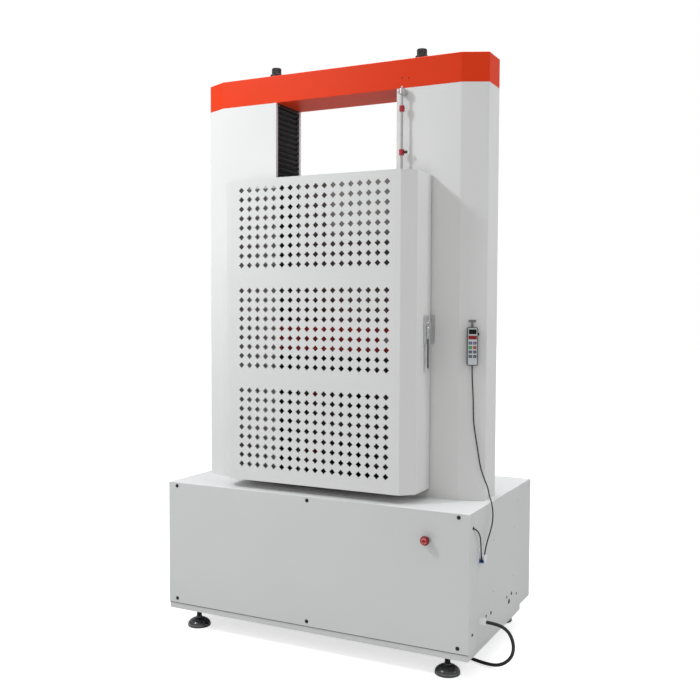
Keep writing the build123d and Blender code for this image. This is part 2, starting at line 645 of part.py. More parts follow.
# Drive unit screwed to the inside of the right panel between the posts, finned towards the cabinet
DRIVE_UNIT_LENGTH = FRAME_DEPTH - 2 * (POST_INSET + POST_SIZE + DRIVE_UNIT_CLEARANCE)
UNIT_BACK = Plane(
    origin=(SIDE - PANEL_SHEET, CABINET_Y, TABLE_HEIGHT - DRIVE_UNIT_DROP), x_dir=(0, 1, 0), z_dir=(1, 0, 0)
)
with BuildPart() as drive_unit:
    with BuildSketch(UNIT_BACK):
        Rectangle(DRIVE_UNIT_LENGTH, DRIVE_UNIT_HEIGHT)
    extrude(amount=-DRIVE_UNIT_DEPTH)
    with BuildSketch(UNIT_BACK.offset(-DRIVE_UNIT_DEPTH)):
        with GridLocations(DRIVE_UNIT_LENGTH / FIN_COUNT, 0, FIN_COUNT, 1):
            Rectangle(FIN_THICKNESS, DRIVE_UNIT_HEIGHT)
    extrude(amount=-FIN_DEPTH)

# Moving crosshead with bores for the guide bushes, the ball nuts and the load stud
with BuildPart() as crosshead:
    with BuildSketch(Plane((0, LOAD_Y, CROSSHEAD_BOTTOM))):
        Rectangle(CROSSHEAD_LENGTH, CROSSHEAD_DEPTH)
    extrude(amount=CROSSHEAD_HEIGHT)
    fillet(crosshead.edges().filter_by(Axis.X), CROSSHEAD_EDGE)
    with Locations((-GUIDE_X, LOAD_Y, CROSSHEAD_TOP), (GUIDE_X, LOAD_Y, CROSSHEAD_TOP)):
        Hole(BUSH_RADIUS)
    with Locations((-SCREW_X, LOAD_Y, CROSSHEAD_TOP), (SCREW_X, LOAD_Y, CROSSHEAD_TOP)):
        Hole(NUT_RADIUS)
    with Locations((0, LOAD_Y, CROSSHEAD_TOP)):
        Hole(STUD_BORE_RADIUS)

with BuildPart() as crosshead_inserts:
    with BuildSketch(Plane((0, LOAD_Y, CROSSHEAD_BOTTOM))):
        with Locations((-GUIDE_X, 0), (GUIDE_X, 0)):
            Circle(BUSH_RADIUS)
            Circle(GUIDE_RADIUS + RUNNING_FIT, mode=Mode.SUBTRACT)
        with Locations((-SCREW_X, 0), (SCREW_X, 0)):
            Circle(NUT_RADIUS)
            Circle(SCREW_RADIUS + RUNNING_FIT, mode=Mode.SUBTRACT)
    extrude(amount=CROSSHEAD_HEIGHT)
    with BuildSketch(Plane((0, LOAD_Y, CROSSHEAD_BOTTOM))):
        with Locations((-SCREW_X, 0), (SCREW_X, 0)):
            Circle(NUT_FLANGE_RADIUS)
            Circle(SCREW_RADIUS + RUNNING_FIT, mode=Mode.SUBTRACT)
    extrude(amount=-NUT_FLANGE_HEIGHT)

# Load cell under the crosshead, with a turned waist and a hub
with BuildPart() as load_cell:
    with BuildSketch(axial_plane(0, LOAD_Y)):
        with BuildLine():
            Polyline(
                (0, CROSSHEAD_BOTTOM),
                (CELL_WAIST_RADIUS, CROSSHEAD_BOTTOM),
                (CELL_WAIST_RADIUS, CROSSHEAD_BOTTOM - CELL_WAIST_HEIGHT),
                (CELL_RADIUS, CROSSHEAD_BOTTOM - CELL_WAIST_HEIGHT),
                (CELL_RADIUS, CROSSHEAD_BOTTOM - CELL_RIM_HEIGHT),
                (CELL_HUB_RADIUS, CROSSHEAD_BOTTOM - CELL_RIM_HEIGHT),
                (CELL_HUB_RADIUS, CELL_BOTTOM),
                (0, CELL_BOTTOM),
                close=True,
            )
        make_face()
    revolve(axis=Axis((0, LOAD_Y, 0), (0, 0, 1)))

# Adapters that carry the grips
with BuildPart() as upper_adapter:
    with BuildSketch(Plane((0, LOAD_Y, CELL_BOTTOM))):
        Circle(ADAPTER_FLANGE_RADIUS)
    extrude(amount=-ADAPTER_FLANGE_HEIGHT)
    with BuildSketch(Plane((0, LOAD_Y, GRIP_TOP))):
        Circle(ADAPTER_NECK_RADIUS)
    extrude(amount=CELL_BOTTOM - GRIP_TOP)

GRIP_BOTTOM = 2 * GRIP_MIDDLE - GRIP_TOP
with BuildPart() as lower_adapter:
    with BuildSketch(Plane((0, LOAD_Y, TABLE_HEIGHT))):
        Circle(POST_FLANGE_RADIUS)
    extrude(amount=POST_FLANGE_HEIGHT)
    with BuildSketch(Plane((0, LOAD_Y, TABLE_HEIGHT))):
        Circle(POST_NECK_RADIUS)
    extrude(amount=GRIP_BOTTOM - TABLE_HEIGHT)

# Wedge grip: shouldered body with a tapered pocket, two wedge jaws and a lever
POCKET_BACK = POCKET_MOUTH + 2 * POCKET_DEPTH * tan(radians(WEDGE_ANGLE))
GRIP_PLANE = axial_plane(0, LOAD_Y)
with BuildPart() as upper_grip_body:
    with BuildSketch(GRIP_PLANE):
        with BuildLine():
            half_body = Polyline(
                (0, GRIP_TOP),
                (GRIP_WIDTH / 2 - GRIP_SHOULDER, GRIP_TOP),
                (GRIP_WIDTH / 2, GRIP_TOP - GRIP_SHOULDER),
                (GRIP_WIDTH / 2, MOUTH),
                (POCKET_MOUTH / 2, MOUTH),
                (POCKET_BACK / 2, MOUTH + POCKET_DEPTH),
                (0, MOUTH + POCKET_DEPTH),
            )
            mirror(half_body, about=Plane.YZ)
        make_face()
    extrude(amount=GRIP_DEPTH / 2, both=True)
    chamfer(upper_grip_body.faces().sort_by(Axis.Y)[0].outer_wire().edges(), GRIP_EDGE)

JAW_LOW = MOUTH + JAW_INSET
JAW_HIGH = JAW_LOW + JAW_LENGTH
JAW_GAP = SEAT_GAP / cos(radians(WEDGE_ANGLE))
with BuildPart() as upper_jaw_right:
    with BuildSketch(GRIP_PLANE):
        with BuildLine():
            Polyline(
                (JAW_OPENING / 2, JAW_LOW),
                (POCKET_MOUTH / 2 + JAW_INSET * tan(radians(WEDGE_ANGLE)) - JAW_GAP, JAW_LOW),
                (POCKET_MOUTH / 2 + (JAW_INSET + JAW_LENGTH) * tan(radians(WEDGE_ANGLE)) - JAW_GAP, JAW_HIGH),
                (JAW_OPENING / 2, JAW_HIGH),
                close=True,
            )
        make_face()
    extrude(amount=JAW_DEPTH / 2, both=True)

LEVER_Z = MOUTH + LEVER_RISE
GRIP_FACE = LOAD_Y - GRIP_DEPTH / 2
LEVER_TIP = (LEVER_X - LEVER_ARM * cos(radians(LEVER_ANGLE)), LEVER_Z - LEVER_ARM * sin(radians(LEVER_ANGLE)))
with BuildPart() as upper_lever:
    with BuildSketch(Plane(origin=(0, GRIP_FACE - SEAT_GAP, 0), x_dir=(1, 0, 0), z_dir=(0, -1, 0))):
        with Locations((LEVER_X, LEVER_Z)):
            Circle(LEVER_BOSS_RADIUS)
    extrude(amount=LEVER_BOSS_LENGTH)
    with BuildSketch(Plane(origin=(0, GRIP_FACE - SEAT_GAP - LEVER_BOSS_LENGTH, 0), x_dir=(1, 0, 0), z_dir=(0, -1, 0))):
        with Locations((LEVER_X, LEVER_Z)):
            Rectangle(LEVER_ARM, LEVER_ARM_WIDTH, rotation=LEVER_ANGLE, align=(Align.MAX, Align.CENTER))
    extrude(amount=-LEVER_ARM_THICKNESS)
    with Locations((LEVER_TIP[0], GRIP_FACE - SEAT_GAP - LEVER_BOSS_LENGTH + LEVER_ARM_THICKNESS / 2, LEVER_TIP[1])):
        Sphere(LEVER_KNOB_RADIUS, rotation=(0, LEVER_ANGLE, LEVER_ANGLE))

with BuildPart() as upper_jaw_left:
    mirror(upper_jaw_right.part, about=Plane.YZ)

SPECIMEN_PLANE = Plane.XY.offset(GRIP_MIDDLE)
with BuildPart() as lower_grip_body:
    mirror(upper_grip_body.part, about=SPECIMEN_PLANE)

with BuildPart() as lower_jaw_right:
    mirror(upper_jaw_right.part, about=SPECIMEN_PLANE)

with BuildPart() as lower_jaw_left:
    mirror(upper_jaw_left.part, about=SPECIMEN_PLANE)

with BuildPart() as lower_lever:
    mirror(upper_lever.part, about=SPECIMEN_PLANE)


def pleats(low, high):
    """Closed zigzag outline of one bellows between two heights: outer folds, then the inner side back down."""
    count = round((high - low) / BELLOWS_PITCH)
    step = (high - low) / count
    inner = COLUMN_INNER + COVER_SHEET + SEAT_GAP
    outer = inner + BELLOWS_DEPTH - BELLOWS_SKIN
    face = [(inner, low)]
    for fold in range(count):
        face.append((outer, low + (fold + 0.5) * step))
        face.append((inner, low + (fold + 1) * step))
    back = [(x + BELLOWS_SKIN, z) for x, z in reversed(face)]
    return face + back


# Bellows above and below the crosshead, one pair in each node
BELLOWS_WIDTH = SLOT_WIDTH + 2 * BELLOWS_OVERLAP
with BuildPart() as upper_bellows:
    with BuildSketch(GRIP_PLANE):
        with BuildLine():
            Polyline(*pleats(CROSSHEAD_TOP + SEAT_GAP, BEAM_UNDERSIDE - SEAT_GAP), close=True)
        make_face()
    extrude(amount=BELLOWS_WIDTH / 2, both=True)
    mirror(about=Plane.YZ)

with BuildPart() as lower_bellows:
    with BuildSketch(GRIP_PLANE):
        with BuildLine():
            Polyline(*pleats(TABLE_HEIGHT + SEAT_GAP, CROSSHEAD_BOTTOM - SEAT_GAP), close=True)
        make_face()
    extrude(amount=BELLOWS_WIDTH / 2, both=True)
    mirror(about=Plane.YZ)

# Limit rod with its two guide brackets, fixed top collar and two sliding collars with thumb screws
with BuildPart() as limit_rod:
    with BuildSketch(Plane((ROD_X, ROD_Y, ROD_BOTTOM))):
        Circle(ROD_RADIUS)
    extrude(amount=ROD_TOP - ROD_BOTTOM)
    with BuildSketch(Plane((ROD_X, ROD_Y, TABLE_HEIGHT + TOP_COLLAR_RISE))):
        Circle(COLLAR_RADIUS)
    extrude(amount=COLLAR_HEIGHT / 2, both=True)

with BuildPart() as rod_brackets:
    for height in (ROD_BOTTOM + ROD_BRACKET_INSET, ROD_TOP - ROD_BRACKET_INSET):
        with BuildSketch(Plane((ROD_X, ROD_Y, height - ROD_BRACKET_HEIGHT / 2))):
            Circle(ROD_BRACKET_NOSE)
            Rectangle(ROD_BRACKET_WIDTH, ROD_STANDOFF, align=(Align.CENTER, Align.MIN))
            Circle(ROD_RADIUS + RUNNING_FIT, mode=Mode.SUBTRACT)
        extrude(amount=ROD_BRACKET_HEIGHT)

with BuildPart() as upper_collar:
    with BuildSketch(Plane((ROD_X, ROD_Y, TABLE_HEIGHT + UPPER_COLLAR_RISE))):
        Circle(COLLAR_RADIUS)
        Circle(ROD_RADIUS + RUNNING_FIT, mode=Mode.SUBTRACT)
    extrude(amount=COLLAR_HEIGHT / 2, both=True)
    with BuildSketch(Plane(origin=(ROD_X + THUMB_ROOT, ROD_Y, TABLE_HEIGHT + UPPER_COLLAR_RISE), z_dir=(1, 0, 0))):
        Circle(THUMB_RADIUS)
    extrude(amount=THUMB_LENGTH)

with BuildPart() as lower_collar:
    with Locations((0, 0, LOWER_COLLAR_RISE - UPPER_COLLAR_RISE)):
        add(upper_collar.part)

# Actuator arm that carries the crosshead's motion to the limit rod's collars
ARM_BASE = CROSSHEAD_BOTTOM + CROSSHEAD_HEIGHT / 2 - ARM_HEIGHT / 2
CROSSHEAD_FRONT = LOAD_Y - CROSSHEAD_DEPTH / 2
with BuildPart() as limit_arm:
    with BuildSketch(Plane.XY.offset(ARM_BASE)):
        with Locations((ARM_ROOT_X, CROSSHEAD_FRONT)):
            Rectangle(ARM_ROOT, ARM_THICKNESS, align=(Align.CENTER, Align.MAX))
            Rectangle(ARM_THICKNESS, CROSSHEAD_FRONT - ROD_Y, align=(Align.CENTER, Align.MAX))
        with Locations((ARM_ROOT_X - ARM_THICKNESS / 2, ROD_Y)):
            Rectangle(ROD_X - ARM_ROOT_X, ARM_THICKNESS, align=(Align.MIN, Align.CENTER))
        with Locations((ROD_X, ROD_Y)):
            Circle(ARM_EYE_RADIUS)
            Circle(ARM_HOLE_RADIUS, mode=Mode.SUBTRACT)
    extrude(amount=ARM_HEIGHT)

# Guard door: perforated front sheet set into a folded frame
PANEL_HALF = DOOR_FLAT - DOOR_MARGIN
TOP_GROUP = DOOR_HEIGHT - HOLE_TOP_MARGIN - (HOLE_ROWS - 1) * HOLE_PITCH_Z / 2
with BuildPart() as door_panel:
    with BuildSketch(Plane(origin=(0, DOOR_FRONT, DOOR_BOTTOM), x_dir=(1, 0, 0), z_dir=(0, -1, 0))):
        Rectangle(2 * PANEL_HALF, DOOR_HEIGHT, align=(Align.CENTER, Align.MIN))
        with Locations([(0, TOP_GROUP - group * HOLE_GROUP_PITCH) for group in range(HOLE_GROUPS)]):
            with GridLocations(HOLE_PITCH_X, HOLE_PITCH_Z, HOLE_COLUMNS, HOLE_ROWS):
                Rectangle(HOLE_SIDE, HOLE_SIDE, rotation=45, mode=Mode.SUBTRACT)
    extrude(amount=-DOOR_SHEET)

with BuildPart() as door_frame:
    with BuildSketch(Plane.XY.offset(DOOR_BOTTOM)):
        with BuildLine():
            Polyline(
                (PANEL_HALF, DOOR_FRONT),
                (DOOR_FLAT, DOOR_FRONT),
                (DOOR_HALF_WIDTH, DOOR_FRONT + DOOR_CHAMFER),
                (DOOR_HALF_WIDTH, DOOR_REAR),
                (DOOR_HALF_WIDTH - DOOR_LIP, DOOR_REAR),
            )
            offset(amount=DOOR_SHEET, kind=Kind.INTERSECTION, side=Side.LEFT)
        make_face()
        mirror(about=Plane.YZ)
    extrude(amount=DOOR_HEIGHT)
    for base in (DOOR_BOTTOM, DOOR_TOP - DOOR_SHEET):
        with BuildSketch(Plane.XY.offset(base)):
            with BuildLine():
                Polyline(
                    (0, DOOR_FRONT + DOOR_SHEET),
                    (DOOR_FLAT - DOOR_SHEET, DOOR_FRONT + DOOR_SHEET),
                    (DOOR_HALF_WIDTH - DOOR_SHEET, DOOR_FRONT + DOOR_CHAMFER),
                    (DOOR_HALF_WIDTH - DOOR_SHEET, DOOR_FRONT + DOOR_RETURN),
                    (0, DOOR_FRONT + DOOR_RETURN),
                    close=True,
                )
            make_face()
            mirror(about=Plane.YZ)
        extrude(amount=DOOR_SHEET)

# Barrel hinges at the door's left edge: fixed leaves with pins, and the door's own leaves
with BuildPart() as column_hinges:
    for index in range(HINGE_COUNT):
        middle = HINGE_MIDDLE + (index - (HINGE_COUNT - 1) / 2) * HINGE_PITCH
        with BuildSketch(Plane((HINGE_X, HINGE_Y, middle - HINGE_LENGTH / 2))):
            Circle(HINGE_RADIUS)
            with Locations((-HINGE_LEAF, HINGE_RADIUS)):
                Rectangle(HINGE_LEAF, HINGE_LEAF_THICKNESS, align=(Align.MIN, Align.MIN))
            with Locations((-HINGE_RADIUS, 0)):
                Rectangle(HINGE_RADIUS, HINGE_RADIUS + HINGE_LEAF_THICKNESS, align=(Align.MIN, Align.MIN))
        extrude(amount=HINGE_LENGTH / 2 - SEAT_GAP)
        with BuildSketch(Plane((HINGE_X, HINGE_Y, middle - HINGE_LENGTH / 2))):
            Circle(HINGE_PIN_RADIUS)
        extrude(amount=HINGE_LENGTH)

with BuildPart() as door_hinges:
    for index in range(HINGE_COUNT):
        middle = HINGE_MIDDLE + (index - (HINGE_COUNT - 1) / 2) * HINGE_PITCH
        with BuildSketch(Plane((HINGE_X, HINGE_Y, middle))):
            Circle(HINGE_RADIUS)
            with Locations((HINGE_OUTBOARD - HINGE_LEAF_THICKNESS, 0)):
                Rectangle(HINGE_LEAF_THICKNESS, HINGE_LEAF, align=(Align.MIN, Align.MAX))
            with Locations((0, -HINGE_RADIUS)):
                Rectangle(HINGE_OUTBOARD, HINGE_RADIUS, align=(Align.MIN, Align.MIN))
            Circle(HINGE_PIN_RADIUS + RUNNING_FIT, mode=Mode.SUBTRACT)
        extrude(amount=HINGE_LENGTH / 2)

# Chrome handle: latch body on the door's side, hanging lever, and keeper on the column
with BuildPart() as latch_body:
    with BuildSketch(Plane(origin=(DOOR_HALF_WIDTH, LATCH_Y, LATCH_MIDDLE), x_dir=(0, 1, 0), z_dir=(1, 0, 0))):
        RectangleRounded(LATCH_WIDTH, LATCH_HEIGHT, LATCH_CORNER)
    extrude(amount=LATCH_THICKNESS)
    fillet(latch_body.faces().sort_by(Axis.X)[-1].edges(), LATCH_THICKNESS / 3)
    with BuildSketch(Plane(origin=(LATCH_PIVOT_X, LATCH_Y, LATCH_PIVOT_Z), x_dir=(1, 0, 0), z_dir=(0, -1, 0))):
        Circle(LEVER_PIN_RADIUS)
    extrude(amount=LATCH_WIDTH / 2, both=True)
    for side in (-1, 1):
        with BuildSketch(
            Plane(
                origin=(DOOR_HALF_WIDTH + LATCH_THICKNESS / 2, LATCH_Y + side * LATCH_WIDTH / 2, LATCH_PIVOT_Z),
                x_dir=(1, 0, 0),
                z_dir=(0, -side, 0),
            )
        ):
            Rectangle(
                LATCH_PIVOT_X - DOOR_HALF_WIDTH - LATCH_THICKNESS / 2,
                2 * LEVER_PIN_RADIUS,
                align=(Align.MIN, Align.CENTER),
            )
            with Locations((LATCH_PIVOT_X - DOOR_HALF_WIDTH - LATCH_THICKNESS / 2, 0)):
                Circle(LEVER_PIN_RADIUS)
        extrude(amount=(LATCH_WIDTH - HANDLE_ROOT_WIDTH) / 2 - SEAT_GAP)

with BuildPart() as handle_lever:
    with BuildSketch(Plane(origin=(LATCH_PIVOT_X, LATCH_Y, LATCH_PIVOT_Z), x_dir=(0, 1, 0), z_dir=(1, 0, 0))):
        with BuildLine():
            Polyline(
                (-HANDLE_ROOT_WIDTH / 2, HANDLE_THICKNESS / 2),
                (HANDLE_ROOT_WIDTH / 2, HANDLE_THICKNESS / 2),
                (HANDLE_TIP_WIDTH / 2, -HANDLE_LENGTH),
                (-HANDLE_TIP_WIDTH / 2, -HANDLE_LENGTH),
                close=True,
            )
        make_face()
    extrude(amount=HANDLE_THICKNESS / 2, both=True)
    fillet(handle_lever.edges().filter_by(Axis.Y).group_by(Axis.Z)[-1], HANDLE_THICKNESS / 2 - RUNNING_FIT)
    fillet(handle_lever.edges().filter_by(Axis.X).group_by(Axis.Z)[0], HANDLE_TIP_WIDTH / 3)
    with Locations(Plane(origin=(LATCH_PIVOT_X, LATCH_Y - HANDLE_ROOT_WIDTH / 2, LATCH_PIVOT_Z), z_dir=(0, -1, 0))):
        Hole(LEVER_PIN_RADIUS + RUNNING_FIT)

with BuildPart() as latch_keeper:
    keeper_x = DOOR_HALF_WIDTH + KEEPER_OFFSET + KEEPER_WIDTH / 2
    with BuildSketch(Plane(origin=(keeper_x, COLUMN_FRONT, LATCH_MIDDLE), x_dir=(1, 0, 0), z_dir=(0, -1, 0))):
        RectangleRounded(KEEPER_WIDTH, LATCH_HEIGHT, KEEPER_WIDTH / 3)
    extrude(amount=KEEPER_THICKNESS)

# Rear guard: plain sheet on the backs of the column covers, stiffened by lips at top and bottom
with BuildPart() as rear_guard:
    with BuildSketch(Plane((0, COLUMN_REAR, DOOR_BOTTOM))):
        Rectangle(2 * DOOR_HALF_WIDTH, REAR_GUARD_SHEET, align=(Align.CENTER, Align.MIN))
    extrude(amount=DOOR_HEIGHT + REAR_GUARD_RISE)
    for base in (DOOR_BOTTOM, DOOR_TOP + REAR_GUARD_RISE - REAR_GUARD_SHEET):
        with BuildSketch(Plane((0, COLUMN_REAR, base))):
            Rectangle(2 * DOOR_HALF_WIDTH, REAR_GUARD_LIP, align=(Align.CENTER, Align.MIN))
        extrude(amount=REAR_GUARD_SHEET)

# Emergency stop: collar and barrel in the panel, sliding stem, turning mushroom head
ESTOP_AXIS = Axis((ESTOP_X, FRONT, ESTOP_Z), (0, -1, 0))
ESTOP_PLANE = Plane(origin=(ESTOP_X, FRONT, ESTOP_Z), x_dir=(1, 0, 0), z_dir=(0, 0, 1))
ESTOP_HEAD_BACK = ESTOP_COLLAR_HEIGHT + ESTOP_STEM_SHOWN
with BuildPart() as estop_collar:
    with BuildSketch(Plane(origin=(ESTOP_X, FRONT, ESTOP_Z), z_dir=(0, -1, 0))):
        Circle(ESTOP_COLLAR_RADIUS)
        Circle(ESTOP_STEM_RADIUS + RUNNING_FIT, mode=Mode.SUBTRACT)
    extrude(amount=ESTOP_COLLAR_HEIGHT)
    chamfer(estop_collar.faces().sort_by(Axis.Y)[0].outer_wire().edges(), ESTOP_COLLAR_HEIGHT / 4)

with BuildPart() as estop_stem:
    with BuildSketch(Plane(origin=(ESTOP_X, FRONT + ESTOP_BARREL, ESTOP_Z), z_dir=(0, -1, 0))):
        Circle(ESTOP_STEM_RADIUS)
    extrude(amount=ESTOP_BARREL + ESTOP_HEAD_BACK - SEAT_GAP)

with BuildPart() as estop_head:
    with BuildSketch(ESTOP_PLANE):
        with BuildLine():
            Polyline(
                (0, -ESTOP_REACH),
                (0, -ESTOP_HEAD_BACK),
                (ESTOP_HEAD_RADIUS - ESTOP_HEAD_EDGE, -ESTOP_HEAD_BACK),
                (ESTOP_HEAD_RADIUS, -ESTOP_HEAD_BACK - ESTOP_HEAD_EDGE),
                (ESTOP_HEAD_RADIUS, -ESTOP_HEAD_BACK - ESTOP_HEAD_RIM),
            )
            TangentArc((0, -ESTOP_REACH), (ESTOP_HEAD_RADIUS, -ESTOP_HEAD_BACK - ESTOP_HEAD_RIM), tangent=(1, 0))
        make_face()
    revolve(axis=ESTOP_AXIS)

# Handset: hook on the column, case, face sheet with membrane keys, screen, red window and jog knob
with BuildPart() as handset_hook:
    with BuildSketch(handset_plane(0)):
        with Locations((0, HANDSET_HEIGHT / 2 + HOOK_ABOVE)):
            Rectangle(HOOK_STEM, HOOK_ABOVE + HOOK_BEHIND, align=(Align.CENTER, Align.MAX))
            Rectangle(HOOK_ARM, HOOK_ARM_HEIGHT, align=(Align.CENTER, Align.MAX))
    extrude(amount=HOOK_THICKNESS)

with BuildPart() as handset_case:
    with BuildSketch(handset_plane(HOOK_THICKNESS)):
        RectangleRounded(HANDSET_WIDTH, HANDSET_HEIGHT, HANDSET_CORNER)
    extrude(amount=HANDSET_THICKNESS)
    fillet(handset_case.edges().sort_by_distance(handset_plane(HOOK_THICKNESS + HANDSET_THICKNESS).origin)[:8], 2)

FACE_STAND_OFF = HOOK_THICKNESS + HANDSET_THICKNESS
FACE_WIDTH = HANDSET_WIDTH - 2 * HANDSET_FACE_INSET
FACE_HEIGHT = HANDSET_HEIGHT - 2 * HANDSET_FACE_INSET
SCREEN_PLACE = (0, HANDSET_HEIGHT / 2 - SCREEN_DROP)
WINDOW_PLACE = (0, HANDSET_HEIGHT / 2 - WINDOW_DROP)
with BuildPart() as handset_face:
    with BuildSketch(handset_plane(FACE_STAND_OFF)):
        RectangleRounded(FACE_WIDTH, FACE_HEIGHT, HANDSET_CORNER - HANDSET_FACE_INSET)
        with Locations(SCREEN_PLACE):
            Rectangle(SCREEN_WIDTH, SCREEN_HEIGHT, mode=Mode.SUBTRACT)
        with Locations(WINDOW_PLACE):
            Rectangle(WINDOW_WIDTH, WINDOW_HEIGHT, mode=Mode.SUBTRACT)
    extrude(amount=HANDSET_FACE_THICKNESS)
    with BuildSketch(handset_plane(FACE_STAND_OFF + HANDSET_FACE_THICKNESS)):
        with Locations((0, HANDSET_HEIGHT / 2 - KEY_BLOCK_DROP)):
            with GridLocations(KEY_PITCH_X, KEY_PITCH_Z, 2, KEY_ROWS):
                Rectangle(KEY_WIDTH, KEY_HEIGHT)
    extrude(amount=KEY_TRAVEL)

JOG_X, JOG_Y = on_chamfer(HANDSET_ALONG + HANDSET_WIDTH / 2 + SEAT_GAP, HOOK_THICKNESS + HANDSET_THICKNESS / 2)
JOG_Z = TABLE_HEIGHT + HANDSET_RISE + HANDSET_HEIGHT / 2 - JOG_DROP
with BuildPart() as jog_knob:
    with BuildSketch(Plane(origin=(JOG_X, JOG_Y, JOG_Z), z_dir=(BEAM_CHAMFER_X, BEAM_CHAMFER_Y, 0))):
        Circle(JOG_RADIUS)
    extrude(amount=JOG_LENGTH)

# Cable clip on the right panel: back plate, shelf and a flanged peg that the handset cord turns round
with BuildPart() as cable_clip:
    with BuildSketch(Plane(origin=(SIDE, CLIP_Y, CLIP_Z), x_dir=(0, 1, 0), z_dir=(1, 0, 0))):
        with Locations((0, -CLIP_FLANGE_RADIUS)):
            Rectangle(CLIP_WIDTH, CLIP_HEIGHT, align=(Align.CENTER, Align.MIN))
    extrude(amount=CLIP_PLATE)
    with BuildSketch(Plane(origin=(SIDE, CLIP_Y, CLIP_Z), x_dir=(0, 1, 0), z_dir=(1, 0, 0))):
        Circle(CLIP_PEG_RADIUS)
    extrude(amount=CLIP_REACH)
    with BuildSketch(Plane(origin=(SIDE + CLIP_REACH, CLIP_Y, CLIP_Z), x_dir=(0, 1, 0), z_dir=(1, 0, 0))):
        Circle(CLIP_FLANGE_RADIUS)
    extrude(amount=-CLIP_PLATE)

# Mains gland and the cords
with BuildPart() as mains_gland:
    with BuildSketch(Plane(origin=(SIDE, GLAND_Y, GLAND_RISE), x_dir=(1, 0, 0), z_dir=(0, -1, 0))):
        with BuildLine():
            Polyline(
                (0, 0),
                (0, GLAND_FLANGE_RADIUS),
                (GLAND_FLANGE, GLAND_FLANGE_RADIUS),
                (GLAND_FLANGE * 1.5, GLAND_FLANGE_RADIUS - 3),
                (GLAND_LENGTH, GLAND_NOSE_RADIUS),
                (GLAND_LENGTH, 0),
                close=True,
            )
        make_face()
    revolve(axis=Axis((SIDE, GLAND_Y, GLAND_RISE), (1, 0, 0)))

GLAND_END = SIDE + GLAND_LENGTH
COIL_HEIGHT = 2 * MAINS_RADIUS * COIL_LAYERS
COIL_EDGE = COIL_RADIUS + 2 * MAINS_RADIUS
MAINS_ROUTE = [
    (GLAND_END, GLAND_Y, GLAND_RISE),
    (GLAND_END + 50, GLAND_Y, GLAND_RISE),
    (GLAND_END + 95, GLAND_Y + 4, GLAND_RISE - 25),
    (GLAND_END + 113, GLAND_Y + 16, GLAND_RISE - 85),
    (GLAND_END + 95, GLAND_Y + 36, GLAND_RISE - 147),
    (GLAND_END + 37, GLAND_Y + 62, GLAND_RISE - 197),
    (GLAND_END - 43, GLAND_Y + 90, MAINS_RADIUS),
    (GLAND_END - 170, GLAND_Y + 145, MAINS_RADIUS),
    (GLAND_END - 232, GLAND_Y + 240, MAINS_RADIUS),
    (COIL_CENTRE_X + COIL_RADIUS, COIL_CENTRE_Y - 80, MAINS_RADIUS),
    (COIL_CENTRE_X + COIL_RADIUS, COIL_CENTRE_Y, MAINS_RADIUS),
]
CORD_TOP_X, CORD_TOP_Y = on_chamfer(HANDSET_ALONG, HOOK_THICKNESS + HANDSET_THICKNESS / 2)
CASE_BOTTOM = TABLE_HEIGHT + HANDSET_RISE - HANDSET_HEIGHT / 2
CORD_ROUTE = [
    (CORD_TOP_X, CORD_TOP_Y, CASE_BOTTOM),
    (CORD_TOP_X, CORD_TOP_Y, CASE_BOTTOM - 35),
    (*on_chamfer(58, 12), TABLE_HEIGHT + 488),
    (*on_chamfer(62, 10), TABLE_HEIGHT + 420),
    (*on_chamfer(63, 9), TABLE_HEIGHT + 345),
    (*on_chamfer(71, 9), TABLE_HEIGHT + 285),
    (*on_chamfer(83, 9), TABLE_HEIGHT + 215),
    (*on_chamfer(93, 10), TABLE_HEIGHT + 150),
    (*on_chamfer(108, 12), TABLE_HEIGHT + 102),
    (SIDE - 19, FRONT + 281, TABLE_HEIGHT + 58),
    (SIDE - 5, FRONT + 258, TABLE_HEIGHT + 28),
    (SIDE + 13, FRONT + 234, TABLE_HEIGHT + 8),
    (SIDE + 24, FRONT + 220, TABLE_HEIGHT - 28),
    (SIDE + 26, FRONT + 211, TABLE_HEIGHT - 66),
    (SIDE + 21, FRONT + 197, TABLE_HEIGHT - 105),
    (SIDE + 14, FRONT + 176, TABLE_HEIGHT - 145),
    (SIDE + 12, FRONT + 157, TABLE_HEIGHT - 180),
    (SIDE + 12, CLIP_Y + 14, CLIP_Z - 14),
    (SIDE + 12, CLIP_Y - 14, CLIP_Z - 14),
    (SIDE + 12, FRONT + 109, TABLE_HEIGHT - 176),
    (SIDE + 13, FRONT + 102, TABLE_HEIGHT - 140),
    (SIDE + 14, FRONT + 92, TABLE_HEIGHT - 108),
    (SIDE + 13, FRONT + 74, TABLE_HEIGHT - 84),
    (SIDE + 8, FRONT + 56, TABLE_HEIGHT - 69),
    (SIDE - 2, FRONT + CORD_HOLE_SETBACK, TABLE_HEIGHT - CORD_HOLE_DROP),
]

CORDS = {}
for cord_name, route, radius in (("mains_tube", MAINS_ROUTE, MAINS_RADIUS), ("handset_tube", CORD_ROUTE, CORD_RADIUS)):
    radii = cord_radii(route)
    with BuildPart() as tube:
        with BuildLine() as path:
            FilletPolyline(*route, radius=radii)
        with BuildSketch(Plane(origin=path.line @ 0, z_dir=path.line % 0)):
            Circle(radius)
        sweep()
    print(cord_name, "length", round(path.wire().length), "radii", [round(value) for value in radii])
    CORDS[cord_name] = tube

with BuildPart() as mains_coil:
    with BuildSketch(axial_plane(COIL_CENTRE_X, COIL_CENTRE_Y)):
        with Locations((COIL_RADIUS, COIL_HEIGHT / 2)):
            RectangleRounded(4 * MAINS_RADIUS, COIL_HEIGHT, MAINS_RADIUS)
    revolve(axis=Axis((COIL_CENTRE_X, COIL_CENTRE_Y, 0), (0, 0, 1)))

